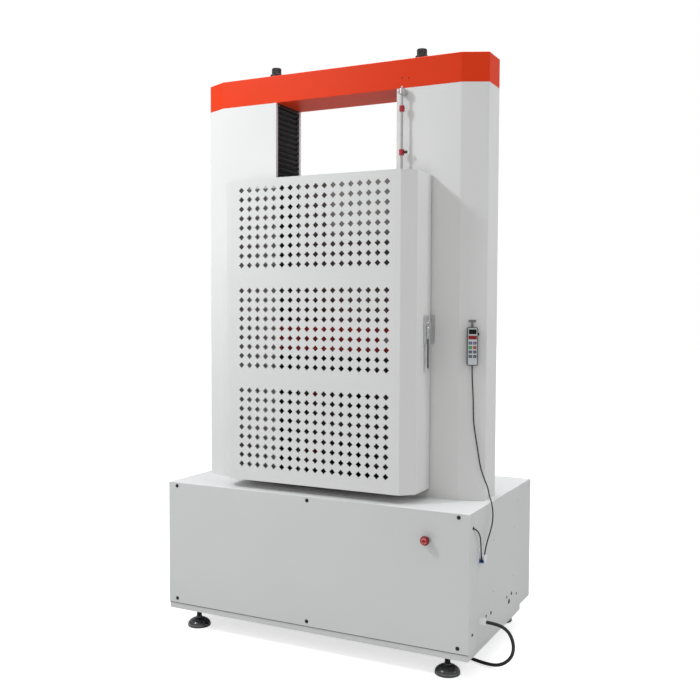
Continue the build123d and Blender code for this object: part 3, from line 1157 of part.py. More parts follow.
PLUG_X = COIL_CENTRE_X - COIL_RADIUS - MAINS_RADIUS
WAIST_EDGE = COIL_CENTRE_X - PLUG_X - PLUG_WAIST_RADIUS
PLUG_FORWARD = ((COIL_EDGE + SEAT_GAP) ** 2 - WAIST_EDGE**2) ** 0.5 + PLUG_WAIST
PLUG_PLANE = Plane(origin=(PLUG_X, COIL_CENTRE_Y - PLUG_FORWARD, PLUG_RADIUS), z_dir=(0, -1, 0))
with BuildPart() as mains_plug:
    with BuildSketch(PLUG_PLANE):
        Circle(PLUG_RADIUS)
    extrude(amount=PLUG_LENGTH)
    with BuildSketch(PLUG_PLANE):
        Circle(PLUG_WAIST_RADIUS)
    extrude(amount=-PLUG_WAIST)
    with BuildSketch(PLUG_PLANE.offset(PLUG_LENGTH)):
        with GridLocations(PLUG_PIN_PITCH, 0, 2, 1):
            Circle(PLUG_PIN_RADIUS)
    extrude(amount=PLUG_PIN_LENGTH)

PIECES = {
    "chassis": chassis,
    "levelling_feet": levelling_feet,
    "base_table": base_table,
    "front_panel": front_panel,
    "right_panel": right_panel,
    "left_panel": left_panel,
    "rear_panel": rear_panel,
    "right_column_cover": right_column_cover,
    "left_column_cover": left_column_cover,
    "guide_columns": guide_columns,
    "top_beam": top_beam,
    "column_screws": column_screws,
    "right_ball_screw": right_screw,
    "left_ball_screw": left_screw,
    "screw_bearings": screw_bearings,
    "servo_motor": servo_motor,
    "motor_pulley": motor_pulley,
    "drive_belt": drive_belt,
    "drive_unit": drive_unit,
    "crosshead": crosshead,
    "crosshead_inserts": crosshead_inserts,
    "load_cell": load_cell,
    "upper_adapter": upper_adapter,
    "lower_adapter": lower_adapter,
    "upper_grip_body": upper_grip_body,
    "upper_jaw_right": upper_jaw_right,
    "upper_jaw_left": upper_jaw_left,
    "upper_grip_lever": upper_lever,
    "lower_grip_body": lower_grip_body,
    "lower_jaw_right": lower_jaw_right,
    "lower_jaw_left": lower_jaw_left,
    "lower_grip_lever": lower_lever,
    "upper_bellows": upper_bellows,
    "lower_bellows": lower_bellows,
    "limit_rod": limit_rod,
    "rod_brackets": rod_brackets,
    "upper_collar": upper_collar,
    "lower_collar": lower_collar,
    "limit_arm": limit_arm,
    "door_panel": door_panel,
    "door_frame": door_frame,
    "column_hinges": column_hinges,
    "door_hinges": door_hinges,
    "latch_body": latch_body,
    "handle_lever": handle_lever,
    "latch_keeper": latch_keeper,
    "rear_guard": rear_guard,
    "estop_collar": estop_collar,
    "estop_stem": estop_stem,
    "estop_head": estop_head,
    "handset_hook": handset_hook,
    "handset_case": handset_case,
    "handset_face": handset_face,
    "jog_knob": jog_knob,
    "cable_clip": cable_clip,
    "mains_gland": mains_gland,
    "mains_coil": mains_coil,
    "mains_plug": mains_plug,
    **CORDS,
}
for name, piece in PIECES.items():
    piece.part.label = name
    export_step(piece.part, f"parts/{name}.step")
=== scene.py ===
import math
from functools import partial

import bmesh
import bpy
from bpy.props import FloatProperty, FloatVectorProperty, IntProperty, PointerProperty
from mathutils import Matrix, Vector


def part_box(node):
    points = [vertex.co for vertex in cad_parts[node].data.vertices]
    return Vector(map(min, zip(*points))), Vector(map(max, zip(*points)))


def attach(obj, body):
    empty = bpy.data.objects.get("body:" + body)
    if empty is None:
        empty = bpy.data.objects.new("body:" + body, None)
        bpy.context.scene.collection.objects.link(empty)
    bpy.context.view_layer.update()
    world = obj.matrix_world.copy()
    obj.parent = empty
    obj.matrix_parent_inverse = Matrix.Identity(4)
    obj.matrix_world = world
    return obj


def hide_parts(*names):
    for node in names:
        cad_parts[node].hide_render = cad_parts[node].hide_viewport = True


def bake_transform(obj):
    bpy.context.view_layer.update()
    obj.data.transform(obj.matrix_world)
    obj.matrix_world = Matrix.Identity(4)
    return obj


bl_info = {
    "name": "Materials Testing Machine",
    "version": (1, 0, 0),
    "blender": (4, 5, 0),
    "location": "View3D > Sidebar > Testing Machine",
    "description": "Finishes, cords, bellows and small fittings for a floor-standing testing machine",
    "category": "Object",
}

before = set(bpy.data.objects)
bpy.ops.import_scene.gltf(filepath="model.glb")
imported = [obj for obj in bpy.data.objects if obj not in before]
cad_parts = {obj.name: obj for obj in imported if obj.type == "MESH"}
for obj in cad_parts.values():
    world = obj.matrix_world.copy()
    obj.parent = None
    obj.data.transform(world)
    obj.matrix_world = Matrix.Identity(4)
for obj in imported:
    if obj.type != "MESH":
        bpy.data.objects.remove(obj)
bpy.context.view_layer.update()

# Places read from the frame, in metres
PANEL_LOW, PANEL_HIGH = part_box("front_panel")
FRONT, SIDE, TABLE = PANEL_LOW.y, PANEL_HIGH.x, PANEL_HIGH.z
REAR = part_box("rear_panel")[1].y
COVER_LOW, COVER_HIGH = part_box("right_column_cover")
COLUMN_FRONT, COLUMN_REAR, BEAM_UNDERSIDE = COVER_LOW.y, COVER_HIGH.y, COVER_HIGH.z
COLUMN_INNER, COLUMN_OUTER = COVER_LOW.x, COVER_HIGH.x
LOAD_Y = (COLUMN_FRONT + COLUMN_REAR) / 2
CROSSHEAD_LOW, CROSSHEAD_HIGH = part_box("crosshead")
GUARD_LOW, GUARD_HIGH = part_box("rear_guard")


RIGHT, LEFT, FORWARD, BACK, UP = (1, 0, 0), (-1, 0, 0), (0, -1, 0), (0, 1, 0), (0, 0, 1)


def middle(node):
    """Middle of a CAD node's box."""
    low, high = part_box(node)
    return (low + high) / 2


class MachineColours(bpy.types.PropertyGroup):
    """Colours of the machine's finishes in plain light."""

    covers: FloatVectorProperty(
        name="Covers", description="Powder coat of the column covers and the guard",
        subtype="COLOR", min=0, max=1, default=(0.785, 0.785, 0.775))
    cabinet: FloatVectorProperty(
        name="Cabinet", description="Powder coat of the cabinet's panels",
        subtype="COLOR", min=0, max=1, default=(0.700, 0.706, 0.698))
    chassis: FloatVectorProperty(
        name="Chassis", description="Powder coat of the chassis below the panels",
        subtype="COLOR", min=0, max=1, default=(0.686, 0.69188, 0.68404))
    # The crosshead's red is the beam's red made darker and bluer as painted shade, for the shade it stands in behind
    # the door.
    crosshead: FloatVectorProperty(
        name="Crosshead", description="Paint of the moving crosshead",
        subtype="COLOR", min=0, max=1, default=(0.72, 0.070, 0.060))
    # The rear guard's dark colour is painted shade: it stands for the shaded inside of the machine that the door's
    # holes show.
    rear_guard: FloatVectorProperty(
        name="Rear guard", description="Dark paint of the rear guard, which the door's holes show",
        subtype="COLOR", min=0, max=1, default=(0.25, 0.235, 0.22))
    table: FloatVectorProperty(
        name="Table", description="Paint of the table plate",
        subtype="COLOR", min=0, max=1, default=(0.86, 0.86, 0.86))
    beam: FloatVectorProperty(
        name="Beam", description="Semi-gloss paint of the top beam",
        subtype="COLOR", min=0, max=1, default=(0.80, 0.046, 0.008))
    warning: FloatVectorProperty(
        name="Knob red", description="Glossy red of the ball knobs on the grip levers",
        subtype="COLOR", min=0, max=1, default=(0.52, 0.012, 0.012))
    blacking: FloatVectorProperty(
        name="Blacking", description="Black oxide of the grips, the load cell and the clamping screws",
        subtype="COLOR", min=0, max=1, default=(0.022, 0.022, 0.024))
    cloth: FloatVectorProperty(
        name="Bellows cloth", description="Coated cloth of the bellows",
        subtype="COLOR", min=0, max=1, default=(0.012, 0.013, 0.015))


class FittingSizes(bpy.types.PropertyGroup):
    """Sizes of the small fittings that the frame doesn't hold."""

    panel_screw: FloatProperty(
        name="Panel screw", description="Radius of the button-head screws on the front panel",
        subtype="DISTANCE", default=0.0086)
    small_screw: FloatProperty(
        name="Small screw", description="Radius of the small screws on the side and rear panels",
        subtype="DISTANCE", default=0.0042)
    pleat: FloatProperty(
        name="Pleat", description="Height of one pleat of the bellows",
        subtype="DISTANCE", default=0.0245)
    fold: FloatProperty(
        name="Fold radius", description="Rounding along the folds of the sheet metal",
        subtype="DISTANCE", default=0.0022)
    coil_turns: IntProperty(
        name="Coil turns", description="Turns of the mains cable in each layer of its coil", default=2)


class StudioSettings(bpy.types.PropertyGroup):
    """Camera and light of the studio."""

    lens: FloatProperty(name="Lens", description="Focal length on a 36 mm sensor, in millimetres", default=46.893)
    place: FloatVectorProperty(
        name="Camera", description="Where the camera stands", subtype="XYZ", default=(1.910, -3.7987, 1.4896))
    yaw: FloatProperty(name="Yaw", description="Turn to the left", subtype="ANGLE", default=math.radians(26.7634))
    pitch: FloatProperty(name="Pitch", description="Tilt downwards", subtype="ANGLE", default=math.radians(2.6134))
    roll: FloatProperty(name="Roll", description="Turn about the view", subtype="ANGLE", default=math.radians(0.2615))
    key: FloatProperty(name="Key", description="Power of the key light", subtype="POWER", default=16.5)
    overhead: FloatProperty(
        name="Overhead", description="Power of the broad lamp above the table", subtype="POWER", default=92)
    side: FloatProperty(name="Side", description="Power of the lamp on the right", subtype="POWER", default=4.2)
    fill: FloatProperty(name="Fill", description="Strength of the even light from all round", default=0.545)


class MachineSettings(bpy.types.PropertyGroup):
    """Everything that a user would change."""

    colours: PointerProperty(type=MachineColours)
    sizes: PointerProperty(type=FittingSizes)
    studio: PointerProperty(type=StudioSettings)


class Value:
    """A shader socket that takes part in Python sums."""

    def __init__(self, graph, socket):
        self.graph = graph
        self.socket = socket

    def __add__(self, other):
        return self.graph.calc("ADD", self, other)

    def __sub__(self, other):
        return self.graph.calc("SUBTRACT", self, other)

    def __rsub__(self, other):
        return self.graph.calc("SUBTRACT", other, self)

    def __mul__(self, other):
        return self.graph.calc("MULTIPLY", self, other)

    def __truediv__(self, other):
        return self.graph.calc("DIVIDE", self, other)

    __radd__ = __add__
    __rmul__ = __mul__


class Graph:
    """A node tree under construction: nodes in, sums on values."""

    def __init__(self, tree):
        self.tree = tree

    def feed(self, socket, value):
        """Links a value to a socket, or sets the socket's own number or colour."""
        if isinstance(value, Value):
            self.tree.links.new(value.socket, socket)
        elif hasattr(socket.default_value, "__len__") and len(socket.default_value) == 4 and len(value) == 3:
            socket.default_value = (*value, 1)
        else:
            socket.default_value = value

    def node(self, kind, settings=None, inputs=None, output=0):
        """Adds a node: its settings first, then the values or links of its sockets."""
        made = self.tree.nodes.new(kind)
        for name, value in (settings or {}).items():
            if name == "stops":
                ramp = made.color_ramp.elements
                while len(ramp) < len(value):
                    ramp.new(0.5)
                for stop, (position, colour) in zip(ramp, value):
                    stop.position = position
                    stop.color = (*colour, 1)
            else:
                setattr(made, name, value)
        for key, value in (inputs or {}).items():
            self.feed(made.inputs[key], value)
        return Value(self, made.outputs[output])

    def calc(self, operation, *values):
        """One sum of values or plain numbers."""
        return self.node("ShaderNodeMath", {"operation": operation}, dict(enumerate(values)))

    def outputs(self, value):
        """All the outputs of the node that a value comes from."""
        return [Value(self, socket) for socket in value.socket.node.outputs]

    def mix(self, factor, low, high):
        """Colour between two colours."""
        return self.node("ShaderNodeMix", {"data_type": "RGBA"}, {0: factor, 6: low, 7: high}, output=2)

    def ramp(self, factor, *stops):
        """Grey or colour by a ramp of (position, colour) stops."""
        return self.node("ShaderNodeValToRGB", {"stops": stops}, {0: factor})


class Finish(Graph):
    """A material under construction, with a Principled shader at its end."""

    def __init__(self, name, **constants):
        self.material = bpy.data.materials.new(name)
        self.material.use_nodes = True
        super().__init__(self.material.node_tree)
        self.shader = self.tree.nodes["Principled BSDF"]
        for words, value in constants.items():
            self.feed(self.shader.inputs[words.replace("_", " ").title().replace("Ior", "IOR")], value)

    def place(self):
        """Object coordinates: metres in the part's frame, since every object is at the origin."""
        return self.node("ShaderNodeTexCoord", output=3)

    def axes(self):
        """Object coordinates as three values."""
        return self.outputs(self.node("ShaderNodeSeparateXYZ", inputs={0: self.place()}))

    def noise(self, scale, detail=2, stretch=(1, 1, 1)):
        """Noise in Object coordinates, at a scale per metre, stretched along the axes."""
        where = self.node("ShaderNodeMapping", {"vector_type": "POINT"}, {0: self.place(), 3: stretch})
        return self.node("ShaderNodeTexNoise", inputs={"Vector": where, "Scale": scale, "Detail": detail})

    def set(self, socket, value):
        """Feeds one socket of the shader."""
        self.feed(self.shader.inputs[socket], value)

    def bump(self, height, distance):
        """Raises the surface by a value between 0 and 1 times a distance in metres."""
        inputs = {"Height": height, "Distance": distance, "Strength": 1.0}
        self.set("Normal", self.node("ShaderNodeBump", inputs=inputs))


def shade(colour, amount):
    """A colour made lighter or darker."""
    return tuple(min(1.0, part * amount) for part in colour)


def colours():
    """The colours that the panel shows."""
    return bpy.context.scene.testing_machine.colours


def tinted(colour):
    """A colour of the panel by its name, or a colour as it stands."""
    return getattr(colours(), colour) if isinstance(colour, str) else colour


def surface(name, tone, low, high, rough, swing, grain=None, depth=0.0, **constants):
    """A finish whose colour and roughness drift with one noise, under the fine bump of another."""
    made = Finish(name, **constants)
    drift = made.noise(*tone)
    made.set("Base Color", made.mix(drift, low, high))
    made.set("Roughness", rough + swing * drift)
    if grain:
        made.bump(made.noise(*grain), depth)
    return made.material


def powder_coat(name, colour, gloss):
    """Powder coat: fine orange peel, a slow drift of tone and of gloss."""
    tint = tinted(colour)
    return surface(name, (2.3, 4), shade(tint, 0.965), shade(tint, 1.03), gloss, 0.10, (520, 2), 0.00018,
                   specular_ior_level=0.25)


def moulded(name, colour, rough, texture=0.00010, **constants):
    """Moulded plastic: a spark-eroded grain and a slow change of gloss."""
    tint = tinted(colour)
    return surface(name, (45, 3), shade(tint, 0.92), shade(tint, 1.08), rough, 0.10, (1500, 2), texture,
                   IOR=1.47, **constants)


def beam_paint(name):
    """Sprayed semi-gloss paint: clouds of tone, soft runs along the beam and orange peel."""
    coat = Finish(name, coat_roughness=0.35, specular_ior_level=0.10)
    runs = coat.noise(9, 4, (0.35, 2, 1))
    cloud = coat.noise(2.6, 5)
    tone = coat.mix(cloud, shade(colours().beam, 0.90), shade(colours().beam, 1.10))
    coat.set("Base Color", coat.mix(runs * 0.16, tone, (0.84, 0.080, 0.014)))
    coat.set("Roughness", 0.34 + 0.20 * cloud)
    coat.set("Coat Weight", 0.02 + 0.05 * runs)
    coat.bump(coat.noise(380, 2), 0.00022)
    return coat.material


def turned_steel(name):
    """Ground steel: fine turning lines round the piece and slight stains."""
    steel = Finish(name, metallic=1.0)
    lines = steel.noise(60, 3, (1, 1, 60))
    steel.set("Base Color", steel.mix(steel.noise(14, 4), (0.46, 0.46, 0.47), (0.62, 0.62, 0.62)))
    steel.set("Roughness", 0.20 + 0.22 * lines)
    steel.bump(lines, 0.00006)
    return steel.material


def threaded_screw(name, side):
    """Ball screw: the helical groove goes round one screw's axis, one turn in each lead."""
    steel = Finish(name, metallic=1.0)
    lead, many_turns = 0.020, 400
    along, across, up = steel.axes()
    angle = steel.calc("ARCTAN2", across - LOAD_Y, along - middle(f"{side}_ball_screw").x)
    turns = steel.calc("FRACT", up / lead + angle / math.tau + many_turns)
    valley = steel.calc("ABSOLUTE", turns - 0.5) * 2
    groove_and_painted_shade = steel.ramp(valley, (0.35, (0, 0, 0)), (0.62, (1, 1, 1)))
    # The groove is both a bump and painted shade: the base colour is dark in the groove's bottom.
    steel.set("Base Color", steel.mix(groove_and_painted_shade, (0.22, 0.21, 0.19), (0.60, 0.60, 0.60)))
    steel.set("Roughness", 0.16 + 0.20 * steel.noise(30, 3))
    steel.bump(groove_and_painted_shade, 0.004)
    return steel.material


def black_oxide(name):
    """Black oxide on machined steel: near black, with oil stains and a faint grain."""
    base = colours().blacking
    return surface(name, (22, 5), shade(base, 0.7), shade(base, 2.0), 0.34, 0.20, (700, 2), 0.00008, metallic=0.35)


def jaw_steel(name):
    """Hardened jaw: two sets of crossed cuts on the gripping face."""
    steel = Finish(name, metallic=1.0)
    cuts_per_metre = 500
    _, across, up = steel.axes()
    cuts = [steel.calc("PINGPONG", (across + up * lean) * cuts_per_metre, 0.5) for lean in (1, -1)]
    stain = steel.noise(40, 4)
    steel.set("Base Color", steel.mix(stain, (0.16, 0.16, 0.17), (0.34, 0.34, 0.35)))
    steel.set("Roughness", 0.34 + 0.16 * stain)
    steel.bump(cuts[0] * cuts[1] * 4, 0.0007)
    return steel.material


def chrome(name):
    """Polished chrome with faint hazing from hands."""
    return surface(name, (30, 4), (0.52, 0.53, 0.53), (0.74, 0.74, 0.74), 0.07, 0.12, metallic=1.0)


def aluminium(name):
    """Satin aluminium with a fine one-way grain."""
    grain = (180, 3, (1, 1, 12))
    return surface(name, grain, (0.56, 0.56, 0.57), (0.70, 0.70, 0.70), 0.30, 0.18, grain, 0.00005, metallic=1.0)


def cast_foot(name):
    """Levelling foot: dark glossy enamel over a cast bell, dusty at its rim, with a painted highlight as a bright
    band just above the rim.
    """
    enamel = Finish(name, metallic=0.25, coat_roughness=0.08)
    cloud = enamel.noise(38, 5)
    bell_height = 0.03
    height = enamel.axes()[2] / bell_height
    dust = enamel.ramp(height, (0.0, (0.55, 0.55, 0.55)), (0.55, (0, 0, 0)))
    tone = enamel.mix(cloud, (0.020, 0.021, 0.023), (0.060, 0.061, 0.064))
    # band is a painted highlight: a lighter ring on the bell a little above its rim.
    band = enamel.ramp(height, (0.28, (0, 0, 0)), (0.33, (1, 1, 1)), (0.42, (1, 1, 1)), (0.47, (0, 0, 0)))
    worn = enamel.mix(dust * 0.35, tone, (0.20, 0.19, 0.18))
    enamel.set("Base Color", enamel.mix(band * 0.7, worn, (0.30, 0.31, 0.30)))
    enamel.set("Roughness", 0.18 + 0.20 * cloud)
    enamel.set("Coat Weight", 0.9 - 0.3 * cloud)
    enamel.bump(cloud, 0.0004)
    return enamel.material


def bellows_cloth(name):
    """Coated cloth: a fine weave under a dull coat, worn greyer in patches."""
    cloth = Finish(name, sheen_weight=0.1, IOR=1.46)
    threads_per_metre = 1100
    _, across, up = cloth.axes()
    weave = [cloth.calc("PINGPONG", value * threads_per_metre, 0.5) for value in (across, up)]
    worn = cloth.noise(26, 4)
    cloth.set("Base Color", cloth.mix(worn, colours().cloth, shade(colours().cloth, 2.2)))
    cloth.set("Roughness", 0.46 + 0.22 * worn)
    cloth.bump(weave[0] * weave[1] * 4, 0.00012)
    return cloth.material


def mushroom_red(name):
    """Stop button's head: deep red, with painted shade darkening it towards the rolled edge."""
    plastic = Finish(name, IOR=1.47)
    centre, rim = middle("estop_head"), 0.020
    along, _, up = plastic.axes()
    right, rise = along - centre.x, up - centre.z
    # Painted shade: the colour darkens towards the rolled edge of the head.
    edge = plastic.ramp((right * right + rise * rise) / rim ** 2, (0.42, (0, 0, 0)), (0.72, (1, 1, 1)))
    plastic.set("Base Color", plastic.mix(edge, (0.40, 0.012, 0.016), (0.17, 0.010, 0.018)))
    plastic.set("Roughness", 0.24 + 0.10 * plastic.noise(45, 3))
    return plastic.material


def screen_glass(name):
    """Unlit display: near-black glass over a dark backing."""
    return surface(name, (70, 3), (0.008, 0.009, 0.008), (0.018, 0.020, 0.017), 0.12, 0.10, specular_ior_level=0.12)


def sheath(name):
    """Cable sheath and seals: matt rubber with scuffs and a fine grain."""
    return surface(name, (60, 4), (0.010, 0.010, 0.011), (0.030, 0.030, 0.030), 0.44, 0.22, (900, 2), 0.00008,
                   IOR=1.5)


def belt_rubber(name):
    """Toothed belt: teeth as a ripple along the belt."""
    rubber = Finish(name)
    teeth_per_metre = 250
    dust = rubber.noise(25, 4)
    rubber.set("Base Color", rubber.mix(dust, (0.012, 0.012, 0.012), (0.045, 0.043, 0.040)))
    rubber.set("Roughness", 0.55 + 0.25 * dust)
    rubber.bump(rubber.calc("PINGPONG", rubber.axes()[0] * teeth_per_metre, 0.5) * 2, 0.0008)
    return rubber.material


PAINTS = {  # colour on the panel, roughness
    "cover_paint": ("covers", 0.48), "panel_paint": ("cabinet", 0.48), "chassis_paint": ("chassis", 0.46),
    "table_paint": ("table", 0.45), "guard_paint": ("rear_guard", 0.5), "crosshead_paint": ("crosshead", 0.42),
}
COARSE = 0.00010
PLASTICS = {  # colour, roughness, depth of the grain in metres
    "stop_red": ("warning", 0.24, 0.00003),
    "arrow_pink": ((0.72, 0.26, 0.24), 0.40, 0.00002),
    "collar_red": ((0.43, 0.018, 0.030), 0.38, COARSE),
    "black_plastic": ((0.016, 0.016, 0.017), 0.42, COARSE),
    "handset_grey": ((0.085, 0.095, 0.095), 0.40, COARSE),
    "handset_silver": ((0.60, 0.63, 0.64), 0.34, 0.00004),
    "window_red": ((0.27, 0.008, 0.012), 0.25, 0.00002),
    "key_blue": ((0.085, 0.075, 0.20), 0.40, 0.00005),
    "key_grey": ((0.060, 0.068, 0.12), 0.42, 0.00005),
    "key_green": ((0.030, 0.30, 0.050), 0.40, 0.00005),
    "key_red": ((0.42, 0.020, 0.020), 0.40, 0.00005),
    "mark_white": ((0.74, 0.74, 0.73), 0.45, 0.00002),
    "clip_white": ((0.80, 0.82, 0.85), 0.28, 0.00003),
    "gland_white": ((0.90, 0.90, 0.89), 0.34, COARSE),
    # Near black for black caps, for painted shade in sockets and holes, and for a painted dark reflection on the
    # chrome lever.
    "dark_hole": ((0.006, 0.006, 0.006), 0.7, COARSE),
}
OTHER_COATS = {
    "hook_grey": partial(moulded, colour=(0.22, 0.22, 0.22), rough=0.35, texture=0.00004, metallic=0.6),
    "clip_blue": partial(moulded, colour=(0.16, 0.29, 0.62), rough=0.25, texture=0.00003, transmission_weight=0.25),
    "left_screw_steel": partial(threaded_screw, side="left"),
    "right_screw_steel": partial(threaded_screw, side="right"),
    **{maker.__name__: maker for maker in (
        beam_paint, turned_steel, black_oxide, jaw_steel, chrome, aluminium, cast_foot, bellows_cloth, mushroom_red,
        screen_glass, sheath, belt_rubber)},
}


def finish(coat):
    """The material of a coat, made the first time it is asked for."""
    name = f"{coat}_finish"
    made = bpy.data.materials.get(name)
    if made:
        return made
    if coat in PAINTS:
        return powder_coat(name, *PAINTS[coat])
    if coat in PLASTICS:
        return moulded(name, *PLASTICS[coat])
    return OTHER_COATS[coat](name)


WELD = 2e-6  # points of a CAD mesh nearer than this, in metres, are one point
CREASE = math.radians(38)  # edges sharper than this stay sharp in the shading
FLAT = math.radians(0.5)  # faces of a CAD mesh nearer in angle than this are one face


def mesh_of(part, name):
    """A mesh with the shape of a bmesh, which is freed."""
    data = bpy.data.meshes.new(name)
    part.to_mesh(data)
    part.free()
    return data


def placed(name, data):
    """A new object in the scene, at the origin."""
    made = bpy.data.objects.new(name, data)
    bpy.context.scene.collection.objects.link(made)
    return made


class Piece:
    """A new piece, gathered from turned, sawn and plated shapes in one mesh and handed to a body."""

    def __init__(self, name, *coats):
        self.name = name
        self.coats = coats
        self.mesh = bmesh.new()

    def take(self, part, place, look):
        """Adds a shape, moved to its place, with one of the piece's finishes."""
        part.transform(place)
        bmesh.ops.recalc_face_normals(part, faces=part.faces[:])
        for face in part.faces:
            face.material_index = look
        scrap = mesh_of(part, "scrap")
        self.mesh.from_mesh(scrap)
        bpy.data.meshes.remove(scrap)

    def turned(self, profile, at, axis=UP, steps=32, look=0):
        """Spins (radius, height) points right round an axis through a point."""
        part = bmesh.new()
        line = [part.verts.new((radius, 0, height)) for radius, height in profile]
        edges = [part.edges.new(pair) for pair in zip(line, line[1:])]
        bmesh.ops.spin(part, geom=line + edges, axis=UP, angle=math.tau, steps=steps, use_merge=True)
        bmesh.ops.remove_doubles(part, verts=part.verts[:], dist=WELD / 2)
        lean = Vector(UP).rotation_difference(Vector(axis)).to_matrix().to_4x4()
        self.take(part, Matrix.Translation(at) @ lean, look)

    def block(self, size, at, bevel=0.0, turn=None, look=0):
        """A rounded block about a point, turned by a matrix."""
        part = bmesh.new()
        bmesh.ops.create_cube(part, size=1)
        bmesh.ops.scale(part, vec=size, verts=part.verts[:])
        if bevel:
            round_off(part, part.edges[:], bevel)
        self.take(part, Matrix.Translation(at) @ (turn or Matrix()), look)

    def slab(self, outline, thickness, place, bevel=0.0, look=0):
        """A flat outline raised along its plane's normal."""
        part = bmesh.new()
        base = part.faces.new([part.verts.new((x, y, 0)) for x, y in outline])
        raised = bmesh.ops.extrude_face_region(part, geom=[base])
        top = [item for item in raised["geom"] if isinstance(item, bmesh.types.BMVert)]
        bmesh.ops.translate(part, verts=top, vec=(0, 0, thickness))
        if bevel:
            rim = [edge for edge in part.edges if all(vert in top for vert in edge.verts)]
            round_off(part, rim, bevel)
        self.take(part, place, look)

    def done(self, body, slot, *nodes):
        """Makes the object, lets it ride on a body and stand for the nodes that it replaces."""
        return dress(mesh_of(self.mesh, self.name), self.coats, body, nodes)


def toothed(points, tip, root):
    """Outline of a knurled wheel, with points on two radii by turns."""
    radii = [tip if step % 2 else root for step in range(points)]
    angles = [math.tau * step / points for step in range(points)]
    return [(math.cos(angle) * radius, math.sin(angle) * radius) for radius, angle in zip(radii, angles)]


def round_off(part, edges, width):
    """Rounds edges of a mesh in the making."""
    bmesh.ops.bevel(
        part, geom=edges, offset=width, offset_type="OFFSET", affect="EDGES",
        segments=2, profile=0.5, material=-1, clamp_overlap=True)


def dress(data, coats, body, nodes=()):
    """An object of a finished mesh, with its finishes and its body."""
    for coat in coats:
        data.materials.append(finish(coat))
    data.polygons.foreach_set("use_smooth", [True] * len(data.polygons))
    data.set_sharp_from_angle(angle=CREASE)
    made = placed(data.name, data)
    if body:
        even = made.modifiers.new("even_normals", "WEIGHTED_NORMAL")
        even.keep_sharp = True
        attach(made, body)
    if nodes:
        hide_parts(*nodes)
    return made


def softened(node, coat, width, body="frame", sharper=25):
    """A CAD node's own shape with its sharp edges rounded."""
    part = bmesh.new()
    part.from_mesh(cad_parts[node].data)
    bmesh.ops.remove_doubles(part, verts=part.verts[:], dist=WELD)
    bmesh.ops.dissolve_limit(
        part, angle_limit=FLAT, verts=part.verts[:], edges=part.edges[:], use_dissolve_boundaries=False)
    keen = [edge for edge in part.edges if edge.is_manifold and edge.calc_face_angle() > math.radians(sharper)]
    round_off(part, keen, width)
    data = mesh_of(part, node + "_soft")
    for layer in ("custom_normal", "sharp_face", "sharp_edge"):
        if layer in data.attributes:
            data.attributes.remove(data.attributes[layer])
    data.materials.clear()
    return dress(data, [coat], body, [node])


def painted(coat, *nodes):
    """CAD nodes whose shape is right get a finish and stay."""
    for node in nodes:
        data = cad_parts[node].data
        data.materials.clear()
        data.materials.append(finish(coat))


def button_head(piece, at, axis, radius, look=0, socket=1):
    """A button-head screw whose hexagon socket is a thin disc in a second finish; a near-black socket there is
    painted shade.
    """
    dome = [(0.55 * radius, 0.48 * radius), (0.80 * radius, 0.34 * radius), (radius, 0.0), (radius, -0.2 * radius)]
    piece.turned([(0, 0.52 * radius), *dome, (0, -0.2 * radius)], at, axis, 24, look=look)
    lift = Vector(axis) * radius * 0.50
    piece.turned([(0, 0.06 * radius), (0.46 * radius, 0.06 * radius), (0.46 * radius, 0), (0, 0)], Vector(at) + lift,
                 axis, 6, look=socket)


def cord_curve(name, route, radius, coat, body, slot, *nodes):
    """A cord as one smooth spline whose control points are its route."""
    data = bpy.data.curves.new(name, "CURVE")
    data.dimensions = "3D"
    spline = data.splines.new("NURBS")
    spline.points.add(len(route) - 1)
    for point, place in zip(spline.points, route):
        point.co = (*place, 1)
    spline.order_u = 3
    spline.use_endpoint_u = True
    spline.resolution_u = 8
    data.bevel_depth = radius
    data.bevel_resolution = 5
    data.use_fill_caps = True
    data.materials.append(finish(coat))
    made = placed(name, data)
    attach(made, body)
    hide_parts(*nodes)
    return made


# Right column's chamfer, which carries the handset
CHAMFER_LEGS = Vector((0.106, 0.048, 0))
CHAMFER_ALONG = CHAMFER_LEGS.normalized()
CHAMFER_OUT = Vector((CHAMFER_ALONG.y, -CHAMFER_ALONG.x, 0))
CHAMFER_START = Vector((COLUMN_OUTER - CHAMFER_LEGS.x, COLUMN_FRONT, 0))


def on_chamfer(along, out, z):
    """A point by its distance along the chamfer, out from it and above the table."""
    return CHAMFER_START + CHAMFER_ALONG * along + CHAMFER_OUT * out + Vector((0, 0, TABLE + z))


# Cord routes: the control points of the splines
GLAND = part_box("mains_gland")[1].x, middle("mains_gland").y, middle("mains_gland").z
MAINS_RADIUS = 0.007
COIL = middle("mains_coil")
COIL_RADIUS = 0.084
MAINS_RUN = [
    (0, 0, GLAND[2]), (0.050, 0, GLAND[2]), (0.095, 0.004, GLAND[2] - 0.025), (0.113, 0.016, GLAND[2] - 0.085),
    (0.095, 0.036, GLAND[2] - 0.147), (0.037, 0.062, GLAND[2] - 0.197), (-0.043, 0.090, MAINS_RADIUS),
    (-0.170, 0.145, MAINS_RADIUS), (-0.232, 0.240, MAINS_RADIUS),
]
CORD_RADIUS = 0.00275
CORD_DOWN = [
    (0.055, 0.014, 0.5725), (0.055, 0.014, 0.5375), (0.058, 0.012, 0.488), (0.062, 0.010, 0.420),
    (0.063, 0.009, 0.345), (0.071, 0.009, 0.285), (0.083, 0.009, 0.215), (0.093, 0.010, 0.150), (0.108, 0.012, 0.102),
]
